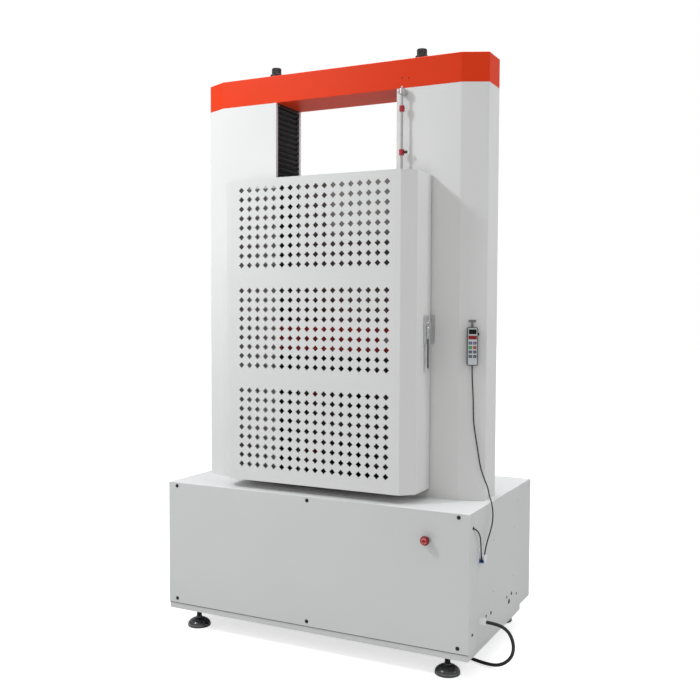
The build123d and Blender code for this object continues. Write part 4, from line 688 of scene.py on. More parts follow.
CORD_SIDE = [
    (-0.019, 0.281, 0.058), (-0.005, 0.258, 0.028), (0.013, 0.234, 0.008), (0.024, 0.220, -0.028),
    (0.026, 0.211, -0.066), (0.021, 0.197, -0.105), (0.014, 0.176, -0.145), (0.012, 0.157, -0.180),
    (0.012, 0.145, -0.215), (0.012, 0.117, -0.215), (0.012, 0.109, -0.176), (0.013, 0.102, -0.140),
    (0.014, 0.092, -0.108), (0.013, 0.074, -0.084), (0.008, 0.056, -0.069), (-0.002, 0.045, -0.0616),
]


def side_point(out, back, z):
    """A point by its distance out from the right side, back from the front and above the table."""
    return Vector((SIDE + out, FRONT + back, TABLE + z))


# Studio: each lamp's place, target, size and spread, then the tints and the sky's light
LAMPS = {
    "key": ((-1.9, -2.5, 4.1), (-0.8, -0.3, 1.95), 0.44, math.radians(80)),
    "overhead": ((0.2, 0.2, 5.0), (0.0, -0.1, 0.7), 1.6, math.pi),
    "side": ((4.1, 0.75, 3.6), (0.7, -0.1, 1.9), 1.0, math.radians(60)),
}
LAMP_TINT = (0.95, 0.975, 1.0)
SKY_LEVEL, SKY_LEAST = 0.82, 0.06
SKY_LEAN = (0.02, -0.04, 0.40)
FLOOR_SIZE, FLOOR_GLOW = 30, (0.66, 0.66, 0.66)


class MACHINE_OT_studio(bpy.types.Operator):
    """Floor, lights, background and the camera at the photograph's angle"""

    bl_idname = "machine.studio"
    bl_label = "Studio"

    def execute(self, context):
        studio = context.scene.testing_machine.studio
        context.scene.view_settings.view_transform = "Standard"
        lens = bpy.data.cameras.new("camera")
        lens.lens = studio.lens
        camera = placed("camera", lens)
        camera.matrix_world = (
            Matrix.Translation(studio.place)
            @ Matrix.Rotation(studio.yaw, 4, "Z")
            @ Matrix.Rotation(math.pi / 2 - studio.pitch, 4, "X")
            @ Matrix.Rotation(studio.roll, 4, "Z")
        )
        context.scene.camera = camera
        for name, (place, target, size, spread) in LAMPS.items():
            self.lamp(name, place, target, size, getattr(studio, name), spread)
        self.world(studio.fill)
        self.floor()
        return {"FINISHED"}

    def lamp(self, name, place, target, size, power, spread):
        """A square soft box that faces a point."""
        light = bpy.data.lights.new(name, "AREA")
        light.energy = power
        light.size = size
        light.spread = spread
        light.color = LAMP_TINT
        lamp = placed(name, light)
        away = Vector(place) - Vector(target)
        lamp.matrix_world = Matrix.Translation(place) @ away.to_track_quat("Z", "Y").to_matrix().to_4x4()

    def world(self, fill):
        """Nearly even light, stronger from above; plain white where the camera looks past the machine."""
        world = bpy.data.worlds.new("studio")
        world.use_nodes = True
        bpy.context.scene.world = world
        sky = Graph(world.node_tree)
        heading = sky.node("ShaderNodeTexCoord")
        parts = sky.outputs(sky.node("ShaderNodeSeparateXYZ", inputs={0: heading}))
        soft = (SKY_LEVEL + sum(lean * part for lean, part in zip(SKY_LEAN, parts))) * fill
        rays = sky.node("ShaderNodeLightPath")
        through = sky.node("ShaderNodeLightPath", output="Is Transmission Ray")
        grey = sky.calc("MAXIMUM", soft, SKY_LEAST)
        light = sky.node("ShaderNodeCombineColor", inputs={0: grey, 1: grey, 2: grey})
        shown = sky.mix(sky.calc("MAXIMUM", rays, through), light, (1, 1, 1))
        sky.feed(world.node_tree.nodes["Background"].inputs["Color"], shown)

    def floor(self):
        """A pale floor that keeps a soft shadow and otherwise shows white."""
        part = bmesh.new()
        bmesh.ops.create_grid(part, x_segments=1, y_segments=1, size=FLOOR_SIZE)
        data = mesh_of(part, "floor")
        paper = Finish("floor_paper", roughness=0.9, base_color=(0.8, 0.8, 0.8), emission_strength=1.0)
        seen = paper.node("ShaderNodeLightPath")
        paper.set("Emission Color", paper.mix(seen, (0, 0, 0), FLOOR_GLOW))
        data.materials.append(paper.material)
        ground = placed("floor", data)


class MACHINE_OT_cords(bpy.types.Operator):
    """Mains cable with its put-away coil and plug, and the handset's cord"""

    bl_idname = "machine.cords"
    bl_label = "Cords"

    def execute(self, context):
        turns = context.scene.testing_machine.sizes.coil_turns
        run = [Vector((GLAND[0] + x, GLAND[1] + y, z)) for x, y, z in MAINS_RUN]
        run += [Vector((COIL.x + COIL_RADIUS, COIL.y - 0.080, MAINS_RADIUS))]
        run += self.coil(turns)
        plug_low, plug_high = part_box("mains_plug")
        entry = middle("mains_plug")
        entry.y = plug_high.y
        run += [entry + Vector((0, 0.030, 0.001)), entry]
        mains = cord_curve(
            "mains_cable", run, MAINS_RADIUS, "sheath", "frame", "cable_black", "mains_tube", "mains_coil")
        strap = self.tie()
        plug = self.plug(plug_low, plug_high)
        route = [on_chamfer(*point) for point in CORD_DOWN] + [side_point(*point) for point in CORD_SIDE]
        lead = cord_curve("handset_cord", route, CORD_RADIUS, "sheath", "frame", "cord_grey", "handset_tube")
        return {"FINISHED"}

    def tie(self):
        """Flat strap round the coil's far side."""
        tie = Piece("coil_tie", "black_plastic")
        wide, thick, bevel = 0.007, 0.0012, 0.0004
        band = 2 * MAINS_RADIUS + 0.0022
        far = COIL.y + COIL_RADIUS
        for lift in (0.0008, 2 * band - 0.0008):
            tie.block((wide, 2 * band, thick), (COIL.x, far, lift), bevel)
        for side in (-band, band):
            tie.block((wide, thick, 2 * band - 0.001), (COIL.x, far + side, band), bevel)
        return tie.done("frame", "black_plastic")

    def coil(self, turns):
        """Two layers of turns, outwards in and then inwards out, a cable's width apart."""
        width = 2 * MAINS_RADIUS
        points = []
        for layer in range(2):
            for turn in range(turns):
                row = turn if layer == 0 else turns - 1 - turn
                radius = COIL_RADIUS + MAINS_RADIUS - width * row
                last = turn == turns - 1
                for step in range(9 if layer and last else 16):
                    angle = math.pi * step / 8
                    ease = width * min(1.0, max(0.0, (step - 12) / 4))
                    reach = radius if last else radius + (ease if layer else -ease)
                    rise = ease if last and layer == 0 else 0
                    height = MAINS_RADIUS + width * layer + rise
                    points.append(Vector((
                        COIL.x + math.cos(angle) * reach, COIL.y + math.sin(angle) * reach, height)))
        return points

    def plug(self, low, high):
        """Two-pin plug with a ribbed grip and a strain relief."""
        plug = Piece("plug", "black_plastic", "turned_steel")
        x, _, z = middle("mains_plug")
        radius = (high.x - low.x) / 2
        waist, pins = high.y, high.y - 0.082
        relief = [(0, 0), (0.0088, 0)]
        for rib in range(5):
            relief += [(0.0088 + 0.0002 * rib, 0.004 * rib + 0.0028), (0.0076 + 0.0004 * rib, 0.004 * rib + 0.0036)]
        body = [(0.010, 0.024), (radius * 0.82, 0.030), (radius, 0.042), (radius, 0.074), (radius * 0.93, 0.082),
                (0, 0.082)]
        plug.turned(relief + body, (x, waist, z), FORWARD, 32)
        for side in (-0.0095, 0.0095):
            pin = [(0, 0), (0.0024, 0), (0.0024, 0.017), (0.0012, 0.019), (0, 0.019)]
            plug.turned(pin, (x + side, pins, z), FORWARD, 16, look=1)
        return plug.done("frame", "black_plastic", "mains_plug")


class MACHINE_OT_bellows(bpy.types.Operator):
    """Pleated bellows in the columns' slots"""

    bl_idname = "machine.bellows"
    bl_label = "Bellows"

    def execute(self, context):
        pleat = context.scene.testing_machine.sizes.pleat
        for node, fixed, moving in (
            ("upper_bellows", BEAM_UNDERSIDE, CROSSHEAD_HIGH.z), ("lower_bellows", TABLE, CROSSHEAD_LOW.z)):
            made = self.pleated(node, pleat)
            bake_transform(made)
        self.end_frames()
        return {"FINISHED"}

    def pleated(self, node, pleat):
        """A zigzag strip drawn across the slot, given its thickness and mirrored to the other column."""
        low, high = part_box(node)
        inner, outer = COLUMN_INNER + 0.0036, high.x - 0.0004
        skin = 0.0012
        count = round((high.z - low.z) / pleat)
        part = bmesh.new()
        line = []
        for fold in range(2 * count + 1):
            x = outer - skin if fold % 2 else inner + skin
            line.append(part.verts.new((x, low.y, low.z + (high.z - low.z) * fold / (2 * count))))
        edges = [part.edges.new(pair) for pair in zip(line, line[1:])]
        drawn = bmesh.ops.extrude_edge_only(part, edges=edges)
        across = [item for item in drawn["geom"] if isinstance(item, bmesh.types.BMVert)]
        bmesh.ops.translate(part, verts=across, vec=(0, high.y - low.y, 0))
        bmesh.ops.recalc_face_normals(part, faces=part.faces[:])
        bmesh.ops.solidify(part, geom=part.faces[:], thickness=skin)
        bmesh.ops.mirror(part, geom=part.verts[:] + part.edges[:] + part.faces[:], axis="X", merge_dist=0)
        bmesh.ops.recalc_face_normals(part, faces=part.faces[:])
        return dress(mesh_of(part, node + "_pleats"), ["bellows_cloth"], None, [node])

    def end_frames(self):
        """Flat end frames that clamp the bellows under the beam and on the table, with small bright screws."""
        for name, z, thick in (
            ("bellows_top_frame", BEAM_UNDERSIDE - 0.0085, 0.016), ("bellows_foot_frame", TABLE + 0.0065, 0.012)):
            ends = Piece(name, "black_plastic", "turned_steel")
            for side in (-1, 1):
                x = side * (COLUMN_INNER + 0.0012)
                ends.block((0.0024, COLUMN_REAR - COLUMN_FRONT - 0.036, thick), (x, LOAD_Y, z), 0.0006)
                for y in (-0.088, 0.088):
                    head = [(0, 0.0020), (0.0022, 0.0018), (0.0034, 0.0006), (0.0034, -0.0006), (0, -0.0006)]
                    ends.turned(head, (x - side * 0.0012, LOAD_Y + y, z), (-side, 0, 0), 16, look=1)
            ends.done("frame", "black_plastic")


class MACHINE_OT_cabinet(bpy.types.Operator):
    """Cabinet panels, table, chassis, their screws and the levelling feet"""

    bl_idname = "machine.cabinet"
    bl_label = "Cabinet"

    def execute(self, context):
        sizes = context.scene.testing_machine.sizes
        softened("front_panel", "panel_paint", sizes.fold * 0.6)
        for node in ("right_panel", "left_panel", "rear_panel"):
            softened(node, "panel_paint", 0.0008)
        softened("base_table", "table_paint", 0.0004)
        softened("chassis", "chassis_paint", 0.003)
        self.front_screws(sizes.panel_screw)
        self.small_screws(sizes.small_screw)
        self.blanks()
        self.base_seal()
        self.feet()
        return {"FINISHED"}

    def base_seal(self):
        """Thin dark strip between the chassis and the front panel's lower edge, standing as painted shadow of the gap
        there.
        """
        seal = Piece("base_seal", "sheath")
        seal.block((PANEL_HIGH.x - PANEL_LOW.x, 0.0024, 0.0022),
                   ((PANEL_LOW.x + PANEL_HIGH.x) / 2, FRONT + 0.0008, PANEL_LOW.z), 0.0004)
        seal.done("frame", "cable_black")

    def front_screws(self, radius):
        """Black button heads along the top and bottom of the front panel."""
        screws = Piece("front_screws", "black_plastic", "dark_hole")
        for x in (-0.689, 0.0, 0.689):
            for drop in (0.0146, 0.541):
                button_head(screws, (x, FRONT, TABLE - drop), FORWARD, radius)
        screws.done("frame", "black_plastic")

    def small_screws(self, radius):
        """Small zinc screws that hold the drive unit and the panels, on the sides and at the rear."""
        screws = Piece("panel_fixings", "aluminium", "dark_hole")
        for back, drop in ((0.657, 0.063), (0.604, 0.175), (0.308, 0.167), (0.604, 0.396), (0.306, 0.388)):
            button_head(screws, (SIDE, FRONT + back, TABLE - drop), RIGHT, radius)
        for back in (0.16, 0.45, 0.80):
            for drop in (0.03, 0.53):
                button_head(screws, (-SIDE, FRONT + back, TABLE - drop), LEFT, radius)
        for x in (-0.70, -0.35, 0.0, 0.35, 0.70):
            for drop in (0.025, 0.54):
                button_head(screws, (x, REAR, TABLE - drop), BACK, radius)
        screws.done("frame", "aluminium")

    def blanks(self):
        """Dark blanking caps low on the right side."""
        blanks = Piece("side_blanks", "dark_hole")
        for back, drop, hole in ((0.507, 0.470, 0.0045), (0.541, 0.499, 0.010), (0.578, 0.473, 0.0065),
                                 (0.654, 0.494, 0.0045), (0.218, 0.468, 0.0045), (0.282, 0.473, 0.0065)):
            cap = [(0, 0.0022), (hole * 0.7, 0.0019), (hole + 0.001, 0.0010), (hole + 0.0015, 0), (0, 0)]
            blanks.turned(cap, (SIDE, FRONT + back, TABLE - drop), RIGHT, 20)
        button_head(blanks, (SIDE, FRONT + 0.042, TABLE - 0.492), RIGHT, 0.0062, 0, 0)
        blanks.done("frame", "black_plastic")

    def feet(self):
        """Levelling feet: enamelled bell, threaded stem and lock nut."""
        low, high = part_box("levelling_feet")
        reach = 0.053
        feet = Piece("levelling_bells", "cast_foot", "black_oxide")
        bell = [(0, 0), (0.0510, 0), (0.0530, 0.002), (0.0530, 0.0080), (0.0520, 0.0098), (0.0500, 0.0106),
                (0.0502, 0.0124), (0.0512, 0.0150), (0.0490, 0.0195), (0.0447, 0.0242), (0.0390, 0.0288),
                (0.0325, 0.0326), (0.0250, 0.0357), (0.0185, 0.0374), (0.0150, 0.0380), (0.0140, 0.0396),
                (0.0140, 0.0430), (0, 0.0430)]
        stem = [(0, 0.040), (0.0118, 0.040)]
        for turn in range(18):
            stem += [(0.0118, 0.045 + 0.003 * turn), (0.0106, 0.0465 + 0.003 * turn)]
        stem += [(0.0118, 0.102), (0.0118, high.z), (0, high.z)]
        nut = [(0, 0.070), (0.0185, 0.070), (0.0205, 0.072), (0.0205, 0.0865), (0.0185, 0.0885), (0, 0.0885)]
        for x in (low.x + reach, high.x - reach):
            for y in (low.y + reach, high.y - reach):
                feet.turned(bell, (x, y, 0), steps=48)
                feet.turned(stem, (x, y, 0), steps=24, look=1)
                feet.turned(nut, (x, y, 0), steps=6, look=1)
        feet.done("frame", "foot_black", "levelling_feet")


class MACHINE_OT_side_fittings(bpy.types.Operator):
    """Cable gland and cable clip on the right side"""

    bl_idname = "machine.side_fittings"
    bl_label = "Side fittings"

    def execute(self, context):
        self.gland()
        self.clip()
        return {"FINISHED"}

    def gland(self):
        """White cable gland: hexagon body, ribbed dome nut and a soft lip round the cable."""
        gland = Piece("cable_gland", "gland_white")
        at = (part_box("mains_gland")[0].x, *GLAND[1:])
        body = [(0, 0), (0.0165, 0), (0.0168, 0.001), (0.0168, 0.0052), (0.0160, 0.006), (0, 0.006)]
        gland.turned(body, at, RIGHT, 6)
        nut = [(0, 0.005), (0.0145, 0.005), (0.0150, 0.0065), (0.0146, 0.017), (0.0125, 0.0225), (0.0102, 0.0262),
               (0.0095, 0.0278), (0, 0.0278)]
        gland.turned(nut, at, RIGHT, 40)
        for rib in range(16):
            turn = Matrix.Rotation(math.tau * rib / 16, 4, "X")
            spot = Vector(at) + Vector((0.0115, 0, 0)) + turn @ Vector((0, 0, 0.0147))
            gland.block((0.0105, 0.0022, 0.0016), spot, 0.0005, turn)
        gland.done("frame", "gland_white", "mains_gland")

    def clip(self):
        """Pale clip plate with its flanged peg, and a blue keeper round the cord's turn."""
        softened("cable_clip", "clip_white", 0.0008)
        keeper = Piece("clip_keeper", "clip_blue")
        base = Vector((SIDE + 0.003, middle("cable_clip").y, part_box("cable_clip")[0].z + 0.008))
        keeper.block((0.004, 0.046, 0.014), base, 0.0015)
        keeper.block((0.019, 0.044, 0.0035), base + Vector((0.0095, 0, -0.0052)), 0.0012)
        keeper.block((0.0035, 0.040, 0.009), base + Vector((0.0175, 0, -0.0010)), 0.0012)
        keeper.done("frame", "clip_white")


class MACHINE_OT_columns(bpy.types.Operator):
    """Column covers, top beam, clamping screws, guide columns and rear guard"""

    bl_idname = "machine.columns"
    bl_label = "Columns and beam"

    def execute(self, context):
        fold = context.scene.testing_machine.sizes.fold
        for node in ("right_column_cover", "left_column_cover"):
            softened(node, "cover_paint", 0.0012, sharper=15)
        softened("top_beam", "beam_paint", fold, sharper=15)
        # The rear guard's dark paint is painted shade for the machine's shaded inside.
        softened("rear_guard", "guard_paint", 0.0008)
        painted("turned_steel", "guide_columns", "screw_bearings")
        self.clamping_screws()
        self.marks()
        return {"FINISHED"}

    def clamping_screws(self):
        """Knurled socket-head screws on turned spacers over the guide columns."""
        low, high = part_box("column_screws")
        screws = Piece("clamping_screws", "black_oxide", "turned_steel", "dark_hole")
        spacer_radius, head_radius = 0.029, 0.0225
        head_base, beam_top = high.z - 0.030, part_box("top_beam")[1].z
        for x in (low.x + spacer_radius, high.x - spacer_radius):
            spacer = [(0, 0), (0.0285, 0), (0.029, 0.0005), (0.029, 0.0280), (0.0280, 0.0290), (0.0280, 0.0300),
                      (0.0290, 0.0310), (0.0290, 0.0340), (0.0280, 0.0350), (0, 0.0350)]
            screws.turned(spacer, (x, LOAD_Y, beam_top), steps=48)
            knurl = toothed(72, head_radius, head_radius - 0.0008)
            screws.slab(knurl, 0.0275, Matrix.Translation((x, LOAD_Y, head_base)))
            crown = [(0.0110, 0), (0.0214, 0), (0.0205, 0.0022), (0.0196, 0.0026), (0.0130, 0.0026), (0.0110, 0)]
            screws.turned(crown, (x, LOAD_Y, head_base + 0.0274), steps=40)
            # The socket is a thin near-black disc: painted shade in the recess.
            socket = [(0, 0.0003), (0.0127, 0.0003), (0.0127, 0), (0, 0)]
            screws.turned(socket, (x, LOAD_Y, head_base + 0.0274), steps=6, look=2)
        screws.done("frame", "black_steel", "column_screws")

    def marks(self):
        """Two small tapped holes low on the beam's front, drawn as near-black discs of painted shade, and screws
        along the rear guard.
        """
        holes = Piece("beam_holes", "dark_hole")
        hole = [(0, 0.0003), (0.0026, 0.0003), (0.0030, 0), (0, 0)]
        for x, z in ((0.3262, 1.7953), (0.3587, 1.7918)):
            holes.turned(hole, (x, COLUMN_FRONT, TABLE + z), FORWARD, 16)
        holes.done("frame", "black_steel")
        screws = Piece("rear_guard_screws", "turned_steel", "dark_hole")
        for x in (-0.44, -0.36, 0.36, 0.44):
            for step in range(4):
                z = GUARD_LOW.z + 0.06 + step * (GUARD_HIGH.z - GUARD_LOW.z - 0.12) / 3
                button_head(screws, (x, COLUMN_REAR + 0.0025, z), BACK, 0.0055)
        screws.done("frame", "bright_steel")


class MACHINE_OT_guard_door(bpy.types.Operator):
    """Perforated guard door, its hinges and its chrome handle"""

    bl_idname = "machine.guard_door"
    bl_label = "Guard door"

    def execute(self, context):
        painted("cover_paint", "door_panel")
        softened("door_frame", "cover_paint", 0.0010, body="door")
        self.seals()
        self.skirt()
        softened("column_hinges", "turned_steel", 0.0006)
        softened("door_hinges", "turned_steel", 0.0006, "door")
        softened("latch_keeper", "aluminium", 0.0010)
        softened("latch_body", "aluminium", 0.0008, "door")
        self.lever()
        return {"FINISHED"}

    def seals(self):
        """Rubber strips along the door's returns, open for the limit rod, and a mat on the bottom return."""
        low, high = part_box("door_frame")
        rod = middle("limit_rod").x
        end, gap, inset, thick, bevel = 0.006, 0.030, 0.0046, 0.004, 0.001
        seal = Piece("return_seals", "sheath")
        for left, right in ((low.x + end, rod - gap), (rod + gap, high.x - end)):
            for height in (low.z + inset, high.z - inset):
                seal.block((right - left, 0.060, thick), ((left + right) / 2, high.y - 0.036, height), bevel)
        seal.block((low.x * -1.76, 0.128, thick), (0, high.y - 0.131, low.z + inset), bevel)
        seal.done("door", "cable_black")

    def skirt(self):
        """Rubber skirt from the rear guard down to the table."""
        skirt = Piece("rear_skirt", "sheath")
        tall = GUARD_LOW.z - TABLE + 0.015
        skirt.block((0.600, 0.003, tall - 0.001), (0, GUARD_LOW.y - 0.0018, TABLE + 0.0005 + tall / 2), 0.001)
        skirt.done("frame", "cable_black")

    def lever(self):
        """Hanging chrome lever: tapered blade with a near-black core between bright edges and a near-black strip near
        its top, both painted dark reflection, and two pivot heads.
        """
        low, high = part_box("handle_lever")
        y, top, tip = (low.y + high.y) / 2, high.z, low.z
        thick = high.x - low.x
        wide, narrow = (high.y - low.y) / 2, 0.0075
        lever = Piece("handle_blade", "chrome", "dark_hole")
        blade = [(-wide, top - 0.004), (-wide * 0.72, top), (wide * 0.72, top), (wide, top - 0.004),
                 (wide * 0.86, top - 0.050), (narrow, tip + 0.006), (narrow * 0.5, tip), (-narrow * 0.5, tip),
                 (-narrow, tip + 0.006), (-wide * 0.86, top - 0.050)]
        lever.slab(blade, thick, self.upright(low.x, y), 0.0028)
        # Painted reflection: a near-black core down the blade.
        painted_reflection_core = [(-wide * 0.74 - 0.0012, top - 0.060), (wide * 0.4, top - 0.060), (narrow * 0.3, tip + 0.012),
                (-narrow - 0.0008, tip + 0.012)]
        lever.slab(painted_reflection_core, thick * 0.5, self.upright(low.x + thick * 0.25, y), look=1)
        # Painted reflection: a near-black strip near the lever's top.
        lever.slab([(-wide - 0.0005, top - 0.012), (wide * 0.2, top - 0.012), (wide * 0.2, top - 0.004),
                    (-wide - 0.0005, top - 0.004)], thick * 0.7, self.upright(low.x + thick * 0.15, y), look=1)
        for z in (top - 0.024, top - 0.048):
            dome = [(0, 0.0046), (0.0036, 0.0037), (0.0056, 0.0014), (0.0058, 0), (0, 0)]
            lever.turned(dome, ((low.x + high.x) / 2, low.y + 0.0012, z), (0.3, -1, 0.2), 20)
        lever.done("handle", "chrome", "handle_lever")

    def upright(self, x, y):
        """Plane whose own axes run to the rear and upwards, facing right."""
        return Matrix(((0, 0, 1, x), (1, 0, 0, y), (0, 1, 0, 0), (0, 0, 0, 1)))


class MACHINE_OT_limit_rod(bpy.types.Operator):
    """Limit rod with its brackets, collars and the crosshead's arm"""

    bl_idname = "machine.limit_rod"
    bl_label = "Limit rod"

    def execute(self, context):
        rod_low, rod_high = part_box("limit_rod")
        self.x, self.y = middle("limit_rod").xy
        rod = Piece("limit_rod_bar", "turned_steel", "collar_red", "black_oxide")
        bar = [(0, rod_low.z), (0.0042, rod_low.z), (0.005, rod_low.z + 0.0008), (0.005, rod_high.z - 0.0008),
               (0.0042, rod_high.z), (0, rod_high.z)]
        rod.turned(bar, (self.x, self.y, 0), steps=24)
        stop = TABLE + 1.658
        self.ring(rod, stop, 1)
        button_head(rod, (self.x + 0.0105, self.y, stop), RIGHT, 0.0038, 2, 2)
        rod.done("limit_rod", "bright_steel", "limit_rod")
        for node in ("upper_collar", "lower_collar"):
            self.collar(node)
        softened("rod_brackets", "aluminium", 0.0014)
        softened("limit_arm", "aluminium", 0.0012, body="crosshead")
        knobs = Piece("bracket_knobs", "chrome", "dark_hole")
        for z in (rod_high.z - 0.022, rod_low.z + 0.022):
            for side in (-1, 1):
                knob = [(0, 0.008), (0.0042, 0.0075), (0.0058, 0.0055), (0.0058, 0.002), (0.0046, 0), (0, 0)]
                knobs.turned(knob, (self.x + side * 0.013, self.y + 0.006, z), (side, 0, 0), 20)
        knobs.done("frame", "chrome")
        return {"FINISHED"}

    def ring(self, piece, z, look):
        """A collar with broken edges round the rod."""
        half, outer, bore, edge = 0.0125, 0.011, 0.0051, 0.0012
        ring = [(bore, -half), (outer - edge, -half), (outer, -half + edge), (outer, half - edge),
                (outer - edge, half), (bore, half), (bore, -half)]
        piece.turned(ring, (self.x, self.y, z), steps=36, look=look)

    def collar(self, node):
        """Red sliding collar with a knurled black thumb screw."""
        high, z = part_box(node)[1], middle(node).z
        collar = Piece(node + "_ring", "collar_red", "black_plastic")
        self.ring(collar, z, 0)
        near = self.x + 0.0135
        face = Matrix(((0, 0, 1, near), (1, 0, 0, self.y), (0, 1, 0, z), (0, 0, 0, 1)))
        collar.slab(toothed(28, 0.0064, 0.0057), high.x - near, face, 0.0008, look=1)
        shank = [(0, 0.009), (0.003, 0.009), (0.003, 0.014), (0, 0.014)]
        collar.turned(shank, (self.x, self.y, z), RIGHT, 16, look=1)
        collar.done(node, "red_plastic", node)


class MACHINE_OT_handset(bpy.types.Operator):
    """Handset on the column: case, face, display, window, keys, jog knob and hook"""

    bl_idname = "machine.handset"
    bl_label = "Handset"

    def execute(self, context):
        softened("handset_case", "handset_grey", 0.0012, sharper=40)
        softened("handset_hook", "hook_grey", 0.0010)
        centre = middle("handset_face")
        self.place = Matrix((
            (CHAMFER_ALONG.x, 0, CHAMFER_OUT.x, centre.x), (CHAMFER_ALONG.y, 0, CHAMFER_OUT.y, centre.y),
            (0, 1, 0, centre.z), (0, 0, 0, 1)))
        self.face()
        self.knob()
        return {"FINISHED"}

    def plate(self, piece, width, height, at, base, thickness, corner, look, bevel=0.0004):
        """A round-cornered plate on the face."""
        outline = []
        for quarter, (sx, sy) in enumerate(((1, 1), (-1, 1), (-1, -1), (1, -1))):
            for step in range(5):
                angle = math.pi / 2 * (quarter + step / 4)
                outline.append((
                    at[0] + sx * (width / 2 - corner) + math.cos(angle) * corner,
                    at[1] + sy * (height / 2 - corner) + math.sin(angle) * corner))
        piece.slab(outline, thickness, self.place @ Matrix.Translation((0, 0, base)), bevel, look)

    def face(self):
        """Pale face sheet with a display, a red window and two columns of keys with plain marks."""
        low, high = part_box("handset_face")
        tall = high.z - low.z
        face = Piece("handset_front", "handset_silver", "screen_glass", "window_red", "key_blue", "key_green",
                     "key_red", "key_grey", "mark_white")
        self.plate(face, 0.0378, tall, (0, 0), -0.0014, 0.0016, 0.004, 0)
        top = tall / 2 + 0.004
        self.plate(face, 0.032, 0.020, (0, top - 0.019), 0.0001, 0.0007, 0.0012, 1, 0.0002)
        self.plate(face, 0.0345, 0.0155, (0, top - 0.043), 0.0001, 0.0006, 0.0012, 2, 0.0002)
        looks = ((3, 3), (4, 5), (6, 6), (6, 6))
        for row, pair in enumerate(looks):
            for column, look in enumerate(pair):
                at = (0.0185 * (column - 0.5), top - 0.094 + 0.0186 * (1.5 - row))
                self.plate(face, 0.0140, 0.0120, at, 0.0001, 0.0011, 0.0022, look)
                self.mark(face, at, row, column)
        face.done("frame", "handset_silver", "handset_face")

    def mark(self, face, at, row, column):
        """Plain white marks: arrows up and down, squares, long dashes and short ones."""
        lean = 1 if column == 0 else -1
        shapes = (
            [(-0.0026, -0.0014 * lean), (0.0026, -0.0014 * lean), (0, 0.0022 * lean)],
            [(-0.0011, -0.0011), (0.0011, -0.0011), (0.0011, 0.0011), (-0.0011, 0.0011)],
            [(-0.003, -0.0006), (0.003, -0.0006), (0.003, 0.0006), (-0.003, 0.0006)],
            [(-0.003, -0.0006), (0.001, -0.0006), (0.001, 0.0006), (-0.003, 0.0006)],
        )
        face.slab(shapes[row], 0.0003, self.place @ Matrix.Translation((*at, 0.0011)), look=7)

    def knob(self):
        """Ribbed jog knob at the handset's side."""
        knob = Piece("jog_wheel", "black_plastic")
        lean = Vector(UP).rotation_difference(CHAMFER_ALONG).to_matrix().to_4x4()
        width = 0.0050
        near = middle("jog_knob") - CHAMFER_ALONG * width / 2
        knob.slab(toothed(24, 0.0060, 0.0053), width, Matrix.Translation(near) @ lean, 0.0007)
        knob.done("jog_knob", "black_plastic", "jog_knob")


class MACHINE_OT_stop_button(bpy.types.Operator):
    """Emergency stop: collar, stem and mushroom head with turn arrows"""

    bl_idname = "machine.stop_button"
    bl_label = "Stop button"

    def execute(self, context):
        at = middle("estop_head")
        at.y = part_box("estop_head")[1].y
        collar = Piece("stop_collar", "aluminium")
        ring = [(0.0082, 0), (0.0168, 0), (0.0168, 0.0045), (0.0150, 0.0078), (0.0125, 0.0078), (0.0118, 0.0060),
                (0.0082, 0.0060), (0.0082, 0)]
        collar.turned(ring, (at.x, FRONT, at.z), FORWARD, 40)
        collar.done("frame", "aluminium", "estop_collar")
        painted("black_plastic", "estop_stem")
        head = Piece("stop_mushroom", "mushroom_red", "arrow_pink")
        cap = [(0, 0), (0.0130, 0), (0.0176, 0.0010), (0.0196, 0.0030), (0.0200, 0.0055), (0.0196, 0.0085),
               (0.0182, 0.0118), (0.0150, 0.0148), (0.0130, 0.0158), (0.0122, 0.0156), (0.0116, 0.0160),
               (0.0060, 0.0176), (0, 0.0180)]
        head.turned(cap, at, FORWARD, 48)
        self.arrows(head, at)
        head.done("estop_head", "red_plastic", "estop_head")
        return {"FINISHED"}

    def arrows(self, head, at):
        """Two pale turn arrows laid into the crown."""
        sweep, crown = 2.2, 0.0160
        band = [(0.0084, 0.01715), (0.0116, 0.0163), (0.0116, 0.0157), (0.0084, 0.0165)]
        tip = [(0.0068, 0), (0.0132, 0), (0.0100, 0.0045)]
        place = Matrix.Translation(at) @ Matrix.Rotation(math.pi / 2, 4, "X")
        for start in (0.35, 0.35 + math.pi):
            part = bmesh.new()
            line = [part.verts.new((radius, 0, height)) for radius, height in band]
            face = part.faces.new(line)
            bmesh.ops.spin(part, geom=[face, *face.edges, *line], axis=UP, angle=sweep, steps=16)
            head.take(part, place @ Matrix.Rotation(start, 4, "Z"), 1)
            turn = Matrix.Rotation(start + sweep, 4, "Z") @ Matrix.Translation((0, 0, crown))
            head.slab(tip, 0.0012, place @ turn, look=1)


